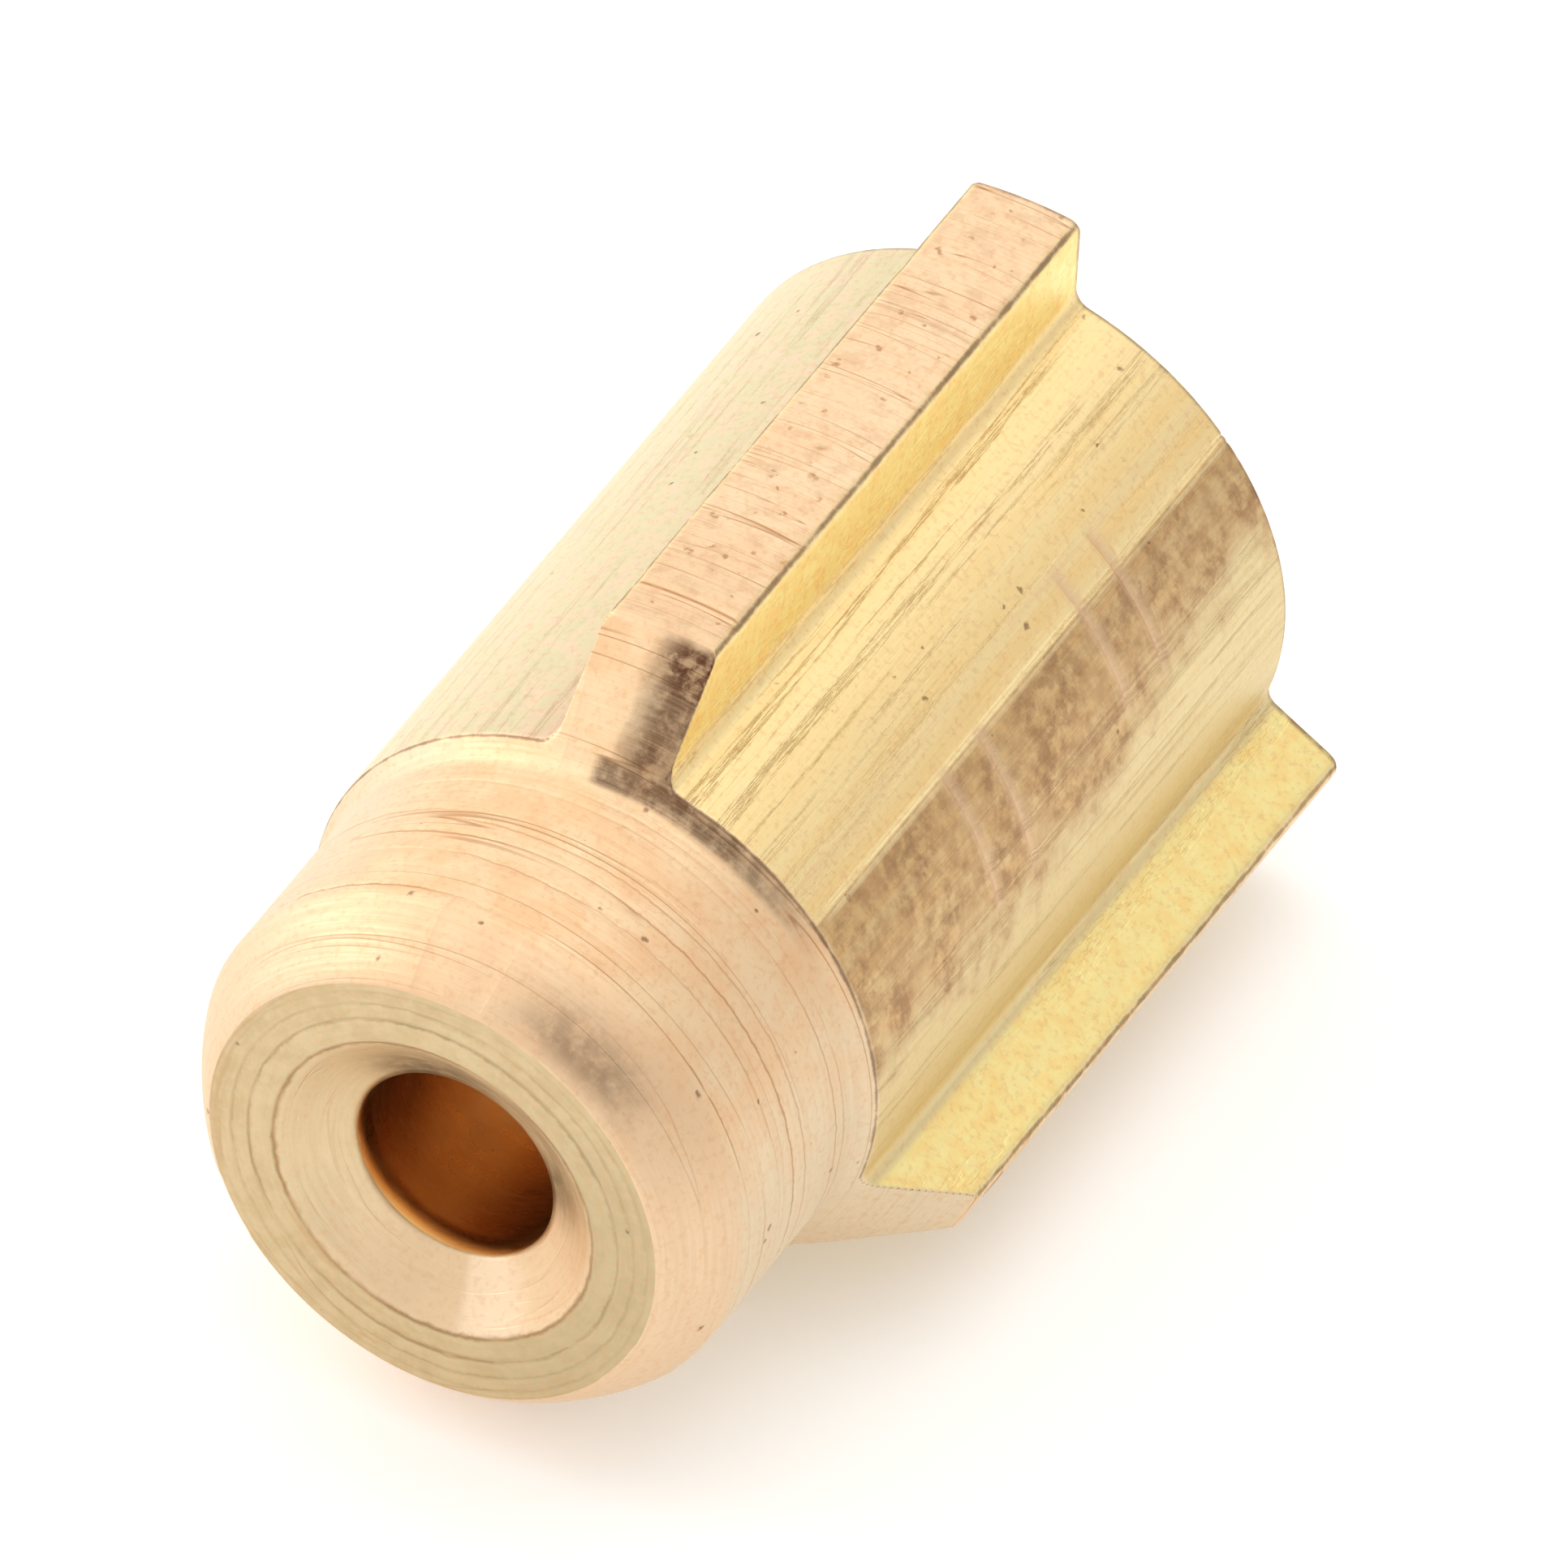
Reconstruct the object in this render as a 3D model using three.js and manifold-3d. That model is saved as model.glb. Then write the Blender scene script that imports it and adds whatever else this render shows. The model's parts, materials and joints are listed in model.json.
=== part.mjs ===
// Oil burner nozzle: a ribbed brass body with the pieces inside that meter, swirl, hold and strain the oil.
// Millimetres. The part lies along Y with its spray end towards -Y and one rib straight up.
// Every piece is made along its own Z, with 0 at the spray face and Z growing towards the inlet end,
// and the outer group lays that axis down along +Y.
import * as THREE from "three";
import { mergeVertices } from "three/addons/utils/BufferGeometryUtils.js";
import Module from "manifold-3d";

const wasm = await Module();
wasm.setup();

// Body, outside
const bodyLength = 14.7;
const barrelRadius = 4.0;
const ribHeight = 1.26;
const ribWidth = 1.55;
const ribCount = 3;
const ribRootFillet = 0.28;
const ribCornerRound = 0.16;
const noseRadius = 3.8;
const noseLength = 3.92; // from the spray face to where the nose would meet the flare sharply
const noseFillet = 0.5;
const flareSlope = 1.0; // radius gained for each millimetre of length, so the flare stands at 45 degrees
const chamferWidth = 0.62;
const chamferLength = 1.05;
const chamferBulge = 0.06;
const rimBreak = 0.08;
const filedRib = 1; // the rib whose lower front corner is filed off, counting from the upright one
const filedRunOut = 1.2; // how far past the flare the filed flat runs along that rib's lower corner

// Body, inside
const boreRadius = 1.4;
const countersinkRadius = 2.24;
const countersinkDepth = 0.58;
const shoulderDepth = 3.6;
const chamberRadius = 2.5;
const inletStep = 0.3; // how much wider than the chamber the inlet is, each side, to seat the seal
const inletDepth = 2.7; // from the inlet end to the seal's step
const inletChamfer = 0.15;

// Clearances
const slideGap = 0.05; // each side, round anything that screws or slips into a bore
const seatGap = 0.02; // between faces that rest on each other
const swirlGap = 0.04; // between the distributor's cone and the disc's cone

// Metering end
const discThickness = 0.8;
const orificeRadius = 0.15;
const orificeLength = 0.25;
const swirlMouthRadius = 0.95;
const distributorLength = 2.4;
const distributorTipRadius = 0.4;
const swirlSlotWidth = 0.3;
const swirlSlotDepth = 0.35;
const swirlSlotOffset = 0.42;
const swirlSlotCount = 3;
const feedGrooveWidth = 0.8;
const feedGrooveDepth = 0.45;
const lockScrewLength = 2.0;
const lockScrewHoleRadius = 0.8;
const driverSlotWidth = 0.6;
const driverSlotDepth = 0.7;

// Threads, drawn as rings because the screws have to turn in plain bores
const threadPitch = 0.5;
const threadDepth = 0.22;

// Strainer end
const sealThickness = 0.3;
const sealPassGap = 0.15; // each side, round the gauze where it slides out through the seal
const carrierSink = 0.35; // how far the carrier's slotted face lies inside the inlet end
const carrierHoleRadius = 1.1;
const spigotLength = 0.75;
const gauzeRadius = 1.85;
const gauzeWall = 0.25;
const capThickness = 0.4;
const capFlowGap = 0.44; // room for the oil between the cap and the lock screw
const capPlugLength = 0.45;

// What follows from the sizes above
const ribRadius = barrelRadius + ribHeight;
const faceRadius = noseRadius - chamferWidth;
const inletRadius = chamberRadius + inletStep;
const sealInnerRadius = gauzeRadius + sealPassGap;
const flareStart = noseLength + (barrelRadius - noseRadius) / flareSlope;
const flareEnd = noseLength + (ribRadius - noseRadius) / flareSlope;
const ribTurn = (index) => -Math.PI / 2 + (index * 2 * Math.PI) / ribCount;

const roundSteps = 72;
const smallSteps = 48;

const axisPoint = (radius, along) => new THREE.Vector2(radius, along);

function solidOf(geometry) {
  const bare = geometry.clone();
  bare.deleteAttribute("normal");
  bare.deleteAttribute("uv");
  const merged = mergeVertices(bare, 1e-5);
  const vertProperties = merged.getAttribute("position").array;
  const triVerts = new Uint32Array(merged.getIndex().array);
  return new wasm.Manifold(new wasm.Mesh({ numProp: 3, vertProperties, triVerts }));
}

function geometryOf(solid) {
  const mesh = solid.getMesh();
  const geometry = new THREE.BufferGeometry();
  geometry.setAttribute("position", new THREE.BufferAttribute(mesh.vertProperties, 3));
  geometry.setIndex(new THREE.BufferAttribute(mesh.triVerts, 1));
  geometry.computeVertexNormals();
  return geometry;
}

// A turned shape about Z. The profile's points are (radius, distance along Z), with the outside
// walked in the direction of growing Z.
function turned(profile, steps = roundSteps) {
  const geometry = new THREE.LatheGeometry(profile, steps);
  geometry.rotateX(Math.PI / 2);
  return solidOf(geometry);
}

// A rectangular bar centred on x, y, from one depth to another, turned about the nozzle's axis.
function bar(width, height, x, y, from, to, turn) {
  const geometry = new THREE.BoxGeometry(width, height, to - from);
  geometry.translate(x, y, (from + to) / 2);
  geometry.rotateZ(turn);
  return solidOf(geometry);
}

function arcPoints(x, y, radius, start, end, steps) {
  const points = [];
  for (let i = 0; i <= steps; i += 1) {
    const angle = start + ((end - start) * i) / steps;
    points.push(new THREE.Vector2(x + radius * Math.cos(angle), y + radius * Math.sin(angle)));
  }
  return points;
}

// One rib seen along the axis, with its crest towards +X: root fillet, flank, corner, crest and back again.
function ribOutline() {
  const half = ribWidth / 2;
  const rootAlong = Math.sqrt((barrelRadius + ribRootFillet) ** 2 - (half + ribRootFillet) ** 2);
  const rootAcross = half + ribRootFillet;
  const rootAngle = Math.atan2(rootAcross, rootAlong);
  const cornerAcross = half - ribCornerRound;
  const cornerAlong = Math.sqrt((ribRadius - ribCornerRound) ** 2 - cornerAcross ** 2);
  const cornerAngle = Math.atan2(cornerAcross, cornerAlong);
  const quarter = Math.PI / 2;
  return [
    ...arcPoints(rootAlong, -rootAcross, ribRootFillet, Math.PI - rootAngle, quarter, 4),
    ...arcPoints(cornerAlong, -cornerAcross, ribCornerRound, -quarter, -cornerAngle, 3),
    ...arcPoints(0, 0, ribRadius, -cornerAngle, cornerAngle, 4).slice(1, -1),
    ...arcPoints(cornerAlong, cornerAcross, ribCornerRound, cornerAngle, quarter, 3),
    ...arcPoints(rootAlong, rootAcross, ribRootFillet, -quarter, rootAngle - Math.PI, 4),
  ];
}

// The drawn bar's outline: the round barrel with its ribs, the first rib towards -Y, which ends up on top.
function barOutline() {
  const rib = ribOutline();
  const rootEnd = rib[rib.length - 1];
  const rootEndAngle = Math.atan2(rootEnd.y, rootEnd.x);
  const pitchAngle = (2 * Math.PI) / ribCount;
  const barrelSteps = Math.round(roundSteps / ribCount) - 4;
  const centre = new THREE.Vector2(0, 0);
  const points = [];
  for (let i = 0; i < ribCount; i += 1) {
    const turn = ribTurn(i);
    const barrelStart = turn + rootEndAngle;
    const barrelEnd = turn + pitchAngle - rootEndAngle;
    rib.forEach((point) => points.push(point.clone().rotateAround(centre, turn)));
    points.push(...arcPoints(0, 0, barrelRadius, barrelStart, barrelEnd, barrelSteps).slice(1, -1));
  }
  return new THREE.Shape(points);
}

// The turned nose: spray face, bulged chamfer, nose, fillet and flare, then straight on past the ribs.
function turnedEnvelope() {
  const flareAngle = Math.atan(flareSlope);
  const filletRun = noseFillet * Math.tan(flareAngle / 2);
  const chamfer = new THREE.QuadraticBezierCurve(
    axisPoint(faceRadius, 0),
    axisPoint((faceRadius + noseRadius) / 2 + chamferBulge * 2, chamferLength / 2),
    axisPoint(noseRadius, chamferLength),
  );
  const fillet = arcPoints(
    noseRadius + noseFillet,
    noseLength - filletRun,
    noseFillet,
    Math.PI,
    Math.PI - flareAngle,
    4,
  );
  const past = 1;
  return turned([
    axisPoint(0, 0),
    ...chamfer.getPoints(6),
    ...fillet,
    axisPoint(ribRadius + past, flareEnd + past / flareSlope),
    axisPoint(ribRadius + past, bodyLength - rimBreak - past),
    axisPoint(ribRadius - rimBreak, bodyLength),
    axisPoint(0, bodyLength),
  ]);
}

// Everything that is drilled or turned out of the body, from the spray face to the inlet end.
function boreCut() {
  const past = 1;
  const sinkSlope = (countersinkRadius - boreRadius) / countersinkDepth;
  return turned([
    axisPoint(0, -past),
    axisPoint(countersinkRadius + past * sinkSlope, -past),
    axisPoint(boreRadius, countersinkDepth),
    axisPoint(boreRadius, shoulderDepth),
    axisPoint(chamberRadius, shoulderDepth),
    axisPoint(chamberRadius, bodyLength - inletDepth),
    axisPoint(inletRadius, bodyLength - inletDepth),
    axisPoint(inletRadius, bodyLength - inletChamfer),
    axisPoint(inletRadius + inletChamfer + past, bodyLength + past),
    axisPoint(0, bodyLength + past),
  ]);
}

// What was filed off one rib's lower front corner: a block laid on the flat that runs from the rib's root,
// where the flare begins, to the middle of its crest, and runs out along its lower corner.
function filedCorner() {
  const blockWidth = 4;
  const blockHeight = 1.5;
  const past = 1;
  const root = new THREE.Vector3(barrelRadius, ribWidth / 2, flareStart);
  const crest = new THREE.Vector3(ribRadius, 0, flareEnd);
  const runOut = new THREE.Vector3(ribRadius, ribWidth / 2, flareEnd + filedRunOut);
  const rise = crest.clone().sub(root);
  const blockLength = rise.length() + past;
  const along = rise.clone().normalize();
  const outward = runOut.clone().sub(root).cross(along).normalize();
  const across = outward.clone().cross(along);
  const middle = root
    .clone()
    .addScaledVector(along, blockLength / 2)
    .addScaledVector(outward, blockHeight / 2);
  const place = new THREE.Matrix4().makeBasis(along, across, outward).setPosition(middle);
  const geometry = new THREE.BoxGeometry(blockLength, blockWidth, blockHeight);
  geometry.applyMatrix4(place);
  geometry.rotateZ(ribTurn(filedRib));
  return solidOf(geometry);
}

function nozzleBody() {
  const drawnBar = new THREE.ExtrudeGeometry(barOutline(), { depth: bodyLength, bevelEnabled: false });
  return solidOf(drawnBar).intersect(turnedEnvelope()).subtract(boreCut()).subtract(filedCorner());
}

const discFront = shoulderDepth + seatGap;
const discBack = discFront + discThickness;
const swirlConeLength = discThickness - orificeLength;
const swirlConeSlope = (swirlMouthRadius - orificeRadius) / swirlConeLength;

// The metering disc: a fine spray hole at the front that opens into a conical swirl chamber.
function orificeDisc() {
  const outer = chamberRadius - slideGap;
  return turned(
    [
      axisPoint(orificeRadius, discFront),
      axisPoint(outer, discFront),
      axisPoint(outer, discBack),
      axisPoint(swirlMouthRadius, discBack),
      axisPoint(orificeRadius, discFront + orificeLength),
      axisPoint(orificeRadius, discFront),
    ],
    smallSteps,
  );
}

const distributorFront = discBack + seatGap;
const distributorBack = distributorFront + distributorLength;

// The distributor: its cone sits in the disc's cone, oil comes forward along the side grooves
// and runs in through slots that miss the axis, which sets it spinning.
function swirlDistributor() {
  const outer = chamberRadius - slideGap;
  const coneRadius = swirlMouthRadius - swirlGap;
  const tip = distributorFront - (coneRadius - distributorTipRadius) / swirlConeSlope;
  let solid = turned(
    [
      axisPoint(0, tip),
      axisPoint(distributorTipRadius, tip),
      axisPoint(coneRadius, distributorFront),
      axisPoint(outer, distributorFront),
      axisPoint(outer, distributorBack),
      axisPoint(0, distributorBack),
    ],
    smallSteps,
  );
  const past = 1;
  const slotLength = outer + past;
  const slotFloor = distributorFront + swirlSlotDepth;
  const cutStart = tip - past;
  const grooveEnd = distributorBack + past;
  const grooveDepth = feedGrooveDepth + past;
  const grooveMiddle = outer - feedGrooveDepth + grooveDepth / 2;
  for (let i = 0; i < swirlSlotCount; i += 1) {
    const turn = (i * 2 * Math.PI) / swirlSlotCount;
    const slot = bar(slotLength, swirlSlotWidth, slotLength / 2, swirlSlotOffset, cutStart, slotFloor, turn);
    const groove = bar(
      grooveDepth,
      feedGrooveWidth,
      grooveMiddle,
      swirlSlotOffset,
      cutStart,
      grooveEnd,
      turn,
    );
    solid = solid.subtract(slot).subtract(groove);
  }
  return solid;
}

// The outside of a screw as thread rings, between two depths, cut down from its full radius.
function threadRings(radius, from, to) {
  const crestShare = 0.1; // of the pitch, the flat on each side of a groove
  const points = [axisPoint(radius, from)];
  const rings = Math.floor((to - from) / threadPitch) - 1;
  const start = (from + to - rings * threadPitch) / 2;
  for (let i = 0; i < rings; i += 1) {
    const at = start + i * threadPitch;
    points.push(axisPoint(radius, at + threadPitch * crestShare));
    points.push(axisPoint(radius - threadDepth, at + threadPitch / 2));
    points.push(axisPoint(radius, at + threadPitch * (1 - crestShare)));
  }
  points.push(axisPoint(radius, to));
  return points;
}

const lockScrewFront = distributorBack + seatGap;
const lockScrewBack = lockScrewFront + lockScrewLength;

// The hollow screw that presses the distributor onto the disc.
function lockScrew() {
  const outer = chamberRadius - slideGap;
  const slotFloor = lockScrewBack - driverSlotDepth;
  return turned(
    [
      axisPoint(lockScrewHoleRadius, lockScrewFront),
      ...threadRings(outer, lockScrewFront, lockScrewBack),
      axisPoint(lockScrewHoleRadius, lockScrewBack),
      axisPoint(lockScrewHoleRadius, lockScrewFront),
    ],
    smallSteps,
  ).subtract(bar(2 * outer + 1, driverSlotWidth, 0, 0, slotFloor, lockScrewBack + 1, 0));
}

const sealFront = bodyLength - inletDepth + seatGap;
const sealBack = sealFront + sealThickness;

// The flat washer on the step, squeezed by the strainer's carrier.
function sealRing() {
  const outer = inletRadius - slideGap;
  return turned(
    [
      axisPoint(sealInnerRadius, sealFront),
      axisPoint(outer, sealFront),
      axisPoint(outer, sealBack),
      axisPoint(sealInnerRadius, sealBack),
      axisPoint(sealInnerRadius, sealFront),
    ],
    smallSteps,
  );
}

const carrierFront = sealBack + seatGap;
const carrierBack = bodyLength - carrierSink;
const spigotFront = carrierFront - spigotLength;
const gauzeBack = carrierFront - seatGap;
const capFront = lockScrewBack + capFlowGap;
const capBack = capFront + capThickness;
const gauzeFront = capBack + seatGap;
const gauzeInnerRadius = gauzeRadius - gauzeWall;
const spigotRadius = gauzeInnerRadius - slideGap;

// The threaded ring that carries the strainer: a spigot in front, a driver slot in its outer face.
function strainerCarrier() {
  const outer = inletRadius - slideGap;
  const slotFloor = carrierBack - driverSlotDepth;
  return turned(
    [
      axisPoint(carrierHoleRadius, spigotFront),
      axisPoint(spigotRadius, spigotFront),
      axisPoint(spigotRadius, carrierFront),
      ...threadRings(outer, carrierFront, carrierBack),
      axisPoint(carrierHoleRadius, carrierBack),
      axisPoint(carrierHoleRadius, spigotFront),
    ],
    smallSteps,
  ).subtract(bar(2 * outer + 1, driverSlotWidth, 0, 0, slotFloor, carrierBack + 1, 0));
}

// The sleeve of fine gauze that the oil passes through from the inside.
function strainerGauze() {
  return turned(
    [
      axisPoint(gauzeInnerRadius, gauzeFront),
      axisPoint(gauzeRadius, gauzeFront),
      axisPoint(gauzeRadius, gauzeBack),
      axisPoint(gauzeInnerRadius, gauzeBack),
      axisPoint(gauzeInnerRadius, gauzeFront),
    ],
    smallSteps,
  );
}

// The cap that closes the gauze at its far end, with a plug that fits inside the sleeve.
function strainerCap() {
  return turned(
    [
      axisPoint(0, capFront),
      axisPoint(gauzeRadius, capFront),
      axisPoint(gauzeRadius, capBack),
      axisPoint(spigotRadius, capBack),
      axisPoint(spigotRadius, capBack + capPlugLength),
      axisPoint(0, capBack + capPlugLength),
    ],
    smallSteps,
  );
}

function material(color, roughness, metalness) {
  return new THREE.MeshStandardMaterial({ color, roughness, metalness });
}

const pieces = [
  ["nozzle_body", nozzleBody(), material(0xd9b25a, 0.34, 1)],
  ["orifice_disc", orificeDisc(), material(0xb9bcbf, 0.25, 1)],
  ["swirl_distributor", swirlDistributor(), material(0xc9a24c, 0.3, 1)],
  ["lock_screw", lockScrew(), material(0xcfa64e, 0.35, 1)],
  ["seal_ring", sealRing(), material(0xb8693f, 0.45, 1)],
  ["strainer_carrier", strainerCarrier(), material(0xcfa64e, 0.35, 1)],
  ["strainer_gauze", strainerGauze(), material(0x9a6b3c, 0.6, 1)],
  ["strainer_cap", strainerCap(), material(0xc9a24c, 0.35, 1)],
];

const axisGroup = new THREE.Group();
for (const [name, solid, finish] of pieces) {
  const mesh = new THREE.Mesh(geometryOf(solid), finish);
  mesh.name = name;
  axisGroup.add(mesh);
}
axisGroup.rotation.x = -Math.PI / 2;
axisGroup.position.set(0, -bodyLength / 2, barrelRadius);

const nozzle = new THREE.Group();
nozzle.add(axisGroup);

export default nozzle;
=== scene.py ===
# %% [markdown]
# # An oil burner nozzle in brass
# The nozzle is a short piece of ribbed brass bar. Its front end is turned down to a nose, and a set of
# small pieces sits inside: a spray disc, a distributor, a hollow screw, a washer and a strainer.
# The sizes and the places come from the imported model, which is loaded first and never moved.
# Its box is kept, because the finished looks have to stay inside it.

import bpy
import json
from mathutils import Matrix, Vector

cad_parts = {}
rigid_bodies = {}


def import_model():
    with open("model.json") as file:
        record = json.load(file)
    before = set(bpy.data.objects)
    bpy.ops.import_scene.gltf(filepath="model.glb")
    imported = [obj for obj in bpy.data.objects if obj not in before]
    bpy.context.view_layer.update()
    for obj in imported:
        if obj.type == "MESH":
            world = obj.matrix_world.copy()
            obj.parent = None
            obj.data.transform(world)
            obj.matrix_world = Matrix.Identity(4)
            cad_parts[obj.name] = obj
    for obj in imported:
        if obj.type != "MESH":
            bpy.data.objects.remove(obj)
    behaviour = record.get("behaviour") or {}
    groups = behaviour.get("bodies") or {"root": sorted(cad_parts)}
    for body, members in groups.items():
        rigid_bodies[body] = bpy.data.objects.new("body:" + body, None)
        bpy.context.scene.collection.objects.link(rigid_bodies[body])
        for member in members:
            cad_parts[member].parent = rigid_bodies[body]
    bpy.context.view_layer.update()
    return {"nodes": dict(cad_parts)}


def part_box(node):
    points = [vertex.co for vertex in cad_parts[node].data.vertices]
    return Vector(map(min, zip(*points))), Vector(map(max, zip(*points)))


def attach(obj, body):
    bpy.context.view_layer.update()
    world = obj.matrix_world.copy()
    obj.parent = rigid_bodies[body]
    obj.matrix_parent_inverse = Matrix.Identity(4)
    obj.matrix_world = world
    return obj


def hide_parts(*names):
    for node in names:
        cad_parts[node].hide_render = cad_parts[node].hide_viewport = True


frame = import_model()
print("nodes:", sorted(frame["nodes"]))

# %% Tools for numbers, meshes and materials
import json
import math

import bmesh
import bpy
import numpy as np
from mathutils import Matrix, Vector, noise

# %% [markdown]
# ## The nozzle's own measure
# A turned part is easiest to think of in three numbers: how far along its axis a point lies, at which
# angle round the axis, and how far out. The axis runs along Y. Everything below is in millimetres along
# from the spray face, and becomes metres only when a point is placed.

# %% Place a point by its distance along, its angle and its radius
mm = 0.001
full_turn = 2 * math.pi
body_low, body_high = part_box("nozzle_body")
front_y = body_low.y / mm
body_length = (body_high.y - body_low.y) / mm
barrel_radius = 4.0
axis_height = body_low.z / mm + barrel_radius
rib_radius = body_high.z / mm - axis_height


def placed(along, angle, radius):
    """Arrays of the nozzle's own numbers as points in metres."""
    across = radius * np.cos(angle)
    up = axis_height + radius * np.sin(angle)
    deep = front_y + along + 0 * radius
    return np.stack([across, deep, up], axis=-1) * mm


print("length", round(body_length, 3), "rib radius", round(rib_radius, 3))

# %% [markdown]
# ## The camera
# The nozzle is seen from its front, a little from the right and from well above, with the view slightly
# turned. A very long lens from far away keeps parallel edges parallel, as a small thing looks in a
# catalogue. The view is given by two directions and one point, the centre of the spray face.

# %% Camera
spray_centre = Vector((0.0, front_y, axis_height)) * mm
toward_camera = Vector((0.32795, -0.66053, 0.67539)).normalized()
picture_up = Vector((-0.35812, 0.57464, 0.73589)).normalized()
picture_right = picture_up.cross(toward_camera).normalized()
camera_distance = 0.805
aim_right = 4.337 * mm
aim_up = 5.025 * mm

camera_data = bpy.data.cameras.new("camera")
camera_data.lens = 1500.0
camera_data.sensor_width = 36.0
camera_data.clip_start = 0.01
camera_data.clip_end = 20.0
camera = bpy.data.objects.new("camera", camera_data)
bpy.context.scene.collection.objects.link(camera)
bpy.context.scene.camera = camera
aim = spray_centre + picture_right * aim_right + picture_up * aim_up
camera_axes = Matrix((picture_right, picture_up, toward_camera)).transposed().to_4x4()
camera.matrix_world = Matrix.Translation(aim + toward_camera * camera_distance) @ camera_axes
print("camera at", [round(value, 4) for value in camera.matrix_world.translation])

# %% [markdown]
# ## Floor and light
# Bright brass shows whatever stands round it, so the light matters as much as the metal. A white tent
# gives even, soft light, a large panel on the left makes that side of the barrel fade towards white, and
# a panel overhead lights the top. The world's colour is a little darker on the right and below, which
# gives the round shapes their slow shading.

# %% Helpers for building node trees
def add_node(tree, kind, **settings):
    node = tree.nodes.new(kind)
    for name, value in settings.items():
        setattr(node, name, value)
    return node


class Field:
    """A number or a colour that changes over a surface. Arithmetic on it adds Math nodes."""

    def __init__(self, tree, socket):
        self.tree = tree
        self.socket = socket

    def __add__(self, other):
        return calc("ADD", self, other)

    def __radd__(self, other):
        return calc("ADD", other, self)

    def __sub__(self, other):
        return calc("SUBTRACT", self, other)

    def __rsub__(self, other):
        return calc("SUBTRACT", other, self)

    def __mul__(self, other):
        return calc("MULTIPLY", self, other)

    def __rmul__(self, other):
        return calc("MULTIPLY", other, self)

    def __truediv__(self, other):
        return calc("DIVIDE", self, other)


def plug(source, target):
    """Joins a field to a socket, or writes a plain value into it."""
    if isinstance(source, Field):
        source.tree.links.new(source.socket, target)
    else:
        target.default_value = source


def made(kind, inputs, output=0, **settings):
    """Adds a node beside its first field, plugs its inputs and gives back one output."""
    tree = next(source.tree for source in inputs.values() if isinstance(source, Field))
    node = add_node(tree, kind, **settings)
    for name, source in inputs.items():
        plug(source, node.inputs[name])
    return Field(tree, node.outputs[output])


def calc(operation, first, second=0.0):
    return made("ShaderNodeMath", {0: first, 1: second}, operation=operation)


def mapped(value, low, high, to_low=0.0, to_high=1.0):
    """Turns a range of values smoothly into another range, held at both ends."""
    inputs = {"Value": value, "From Min": low, "From Max": high, "To Min": to_low, "To Max": to_high}
    return made("ShaderNodeMapRange", inputs, interpolation_type="SMOOTHSTEP")


def parts_of(vector):
    """The three parts of a vector or a colour."""
    node = add_node(vector.tree, "ShaderNodeSeparateXYZ")
    plug(vector, node.inputs[0])
    return [Field(vector.tree, socket) for socket in node.outputs]


# %% World
tent_colour = (1.0, 0.99, 0.97, 1.0)
tent_darkest = 0.5
more_from_left = 0.32
more_from_above = 0.3

world = bpy.data.worlds.new("white_tent")
bpy.context.scene.world = world
world.use_nodes = True
sky = world.node_tree
sky.nodes.clear()
rightward, _, upward = parts_of(Field(sky, add_node(sky, "ShaderNodeTexCoord").outputs["Generated"]))
from_left = mapped(rightward, 0.9, -0.9) * more_from_left
from_above = mapped(upward, -0.3, 0.8) * more_from_above
strength = from_left + from_above + tent_darkest
tent = made("ShaderNodeBackground", {"Color": tent_colour, "Strength": strength})
plug(tent, add_node(sky, "ShaderNodeOutputWorld").inputs["Surface"])

# %% Light panels
panel_radiance_to_power = math.pi


def light_panel(name, direction, distance, size, radiance):
    """A square softbox that faces the nozzle's middle."""
    data = bpy.data.lights.new(name, "AREA")
    data.shape = "SQUARE"
    data.size = size
    data.energy = radiance * panel_radiance_to_power * size * size
    lamp = bpy.data.objects.new(name, data)
    bpy.context.scene.collection.objects.link(lamp)
    middle = Vector((0.0, 0.0, axis_height * mm))
    outward = Vector(direction).normalized()
    turn = outward.to_track_quat("Z", "Y").to_matrix().to_4x4()
    lamp.matrix_world = Matrix.Translation(middle + outward * distance) @ turn
    lamp.visible_camera = False
    print(name, "gives", round(data.energy, 3), "W")
    return lamp


light_panel("left_panel", (-0.9, -0.05, 0.42), 0.42, 0.34, 1.42)
light_panel("top_panel", (0.12, 0.25, 0.95), 0.5, 0.3, 1.15)
light_panel("front_fill", (0.35, -0.92, 0.18), 0.6, 0.3, 0.48)

# %% Floor
floor_width = 3.0
floor_mesh = bpy.data.meshes.new("floor")
half_floor = floor_width / 2
corners = [(side * half_floor, end * half_floor, 0) for side, end in ((-1, -1), (1, -1), (1, 1), (-1, 1))]
floor_mesh.from_pydata(corners, [], [(0, 1, 2, 3)])
floor = bpy.data.objects.new("floor", floor_mesh)
bpy.context.scene.collection.objects.link(floor)

floor_paint = bpy.data.materials.new("floor_paint")
floor_paint.use_nodes = True
floor_values = {
    "Base Color": (0.93, 0.93, 0.925, 1.0),
    "Roughness": 0.7,
    "Emission Color": (1.0, 1.0, 1.0, 1.0),
    "Emission Strength": 0.2,
}
for name, value in floor_values.items():
    plug(value, floor_paint.node_tree.nodes["Principled BSDF"].inputs[name])
floor_mesh.materials.append(floor_paint)
bpy.context.scene.view_settings.view_transform = "Standard"
bpy.context.scene.view_settings.exposure = 0.0

# %% [markdown]
# ## The body's outline
# The body starts as drawn bar: a round barrel with three ribs along it. Seen along the axis, each rib is
# a root fillet, a straight flank, a rounded corner and a crest that is part of a circle. The outline is
# kept as a list of columns, each with its angle and its radius, and is close-set where the shape turns
# sharply and open on the round barrel, where few points are enough.

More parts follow.
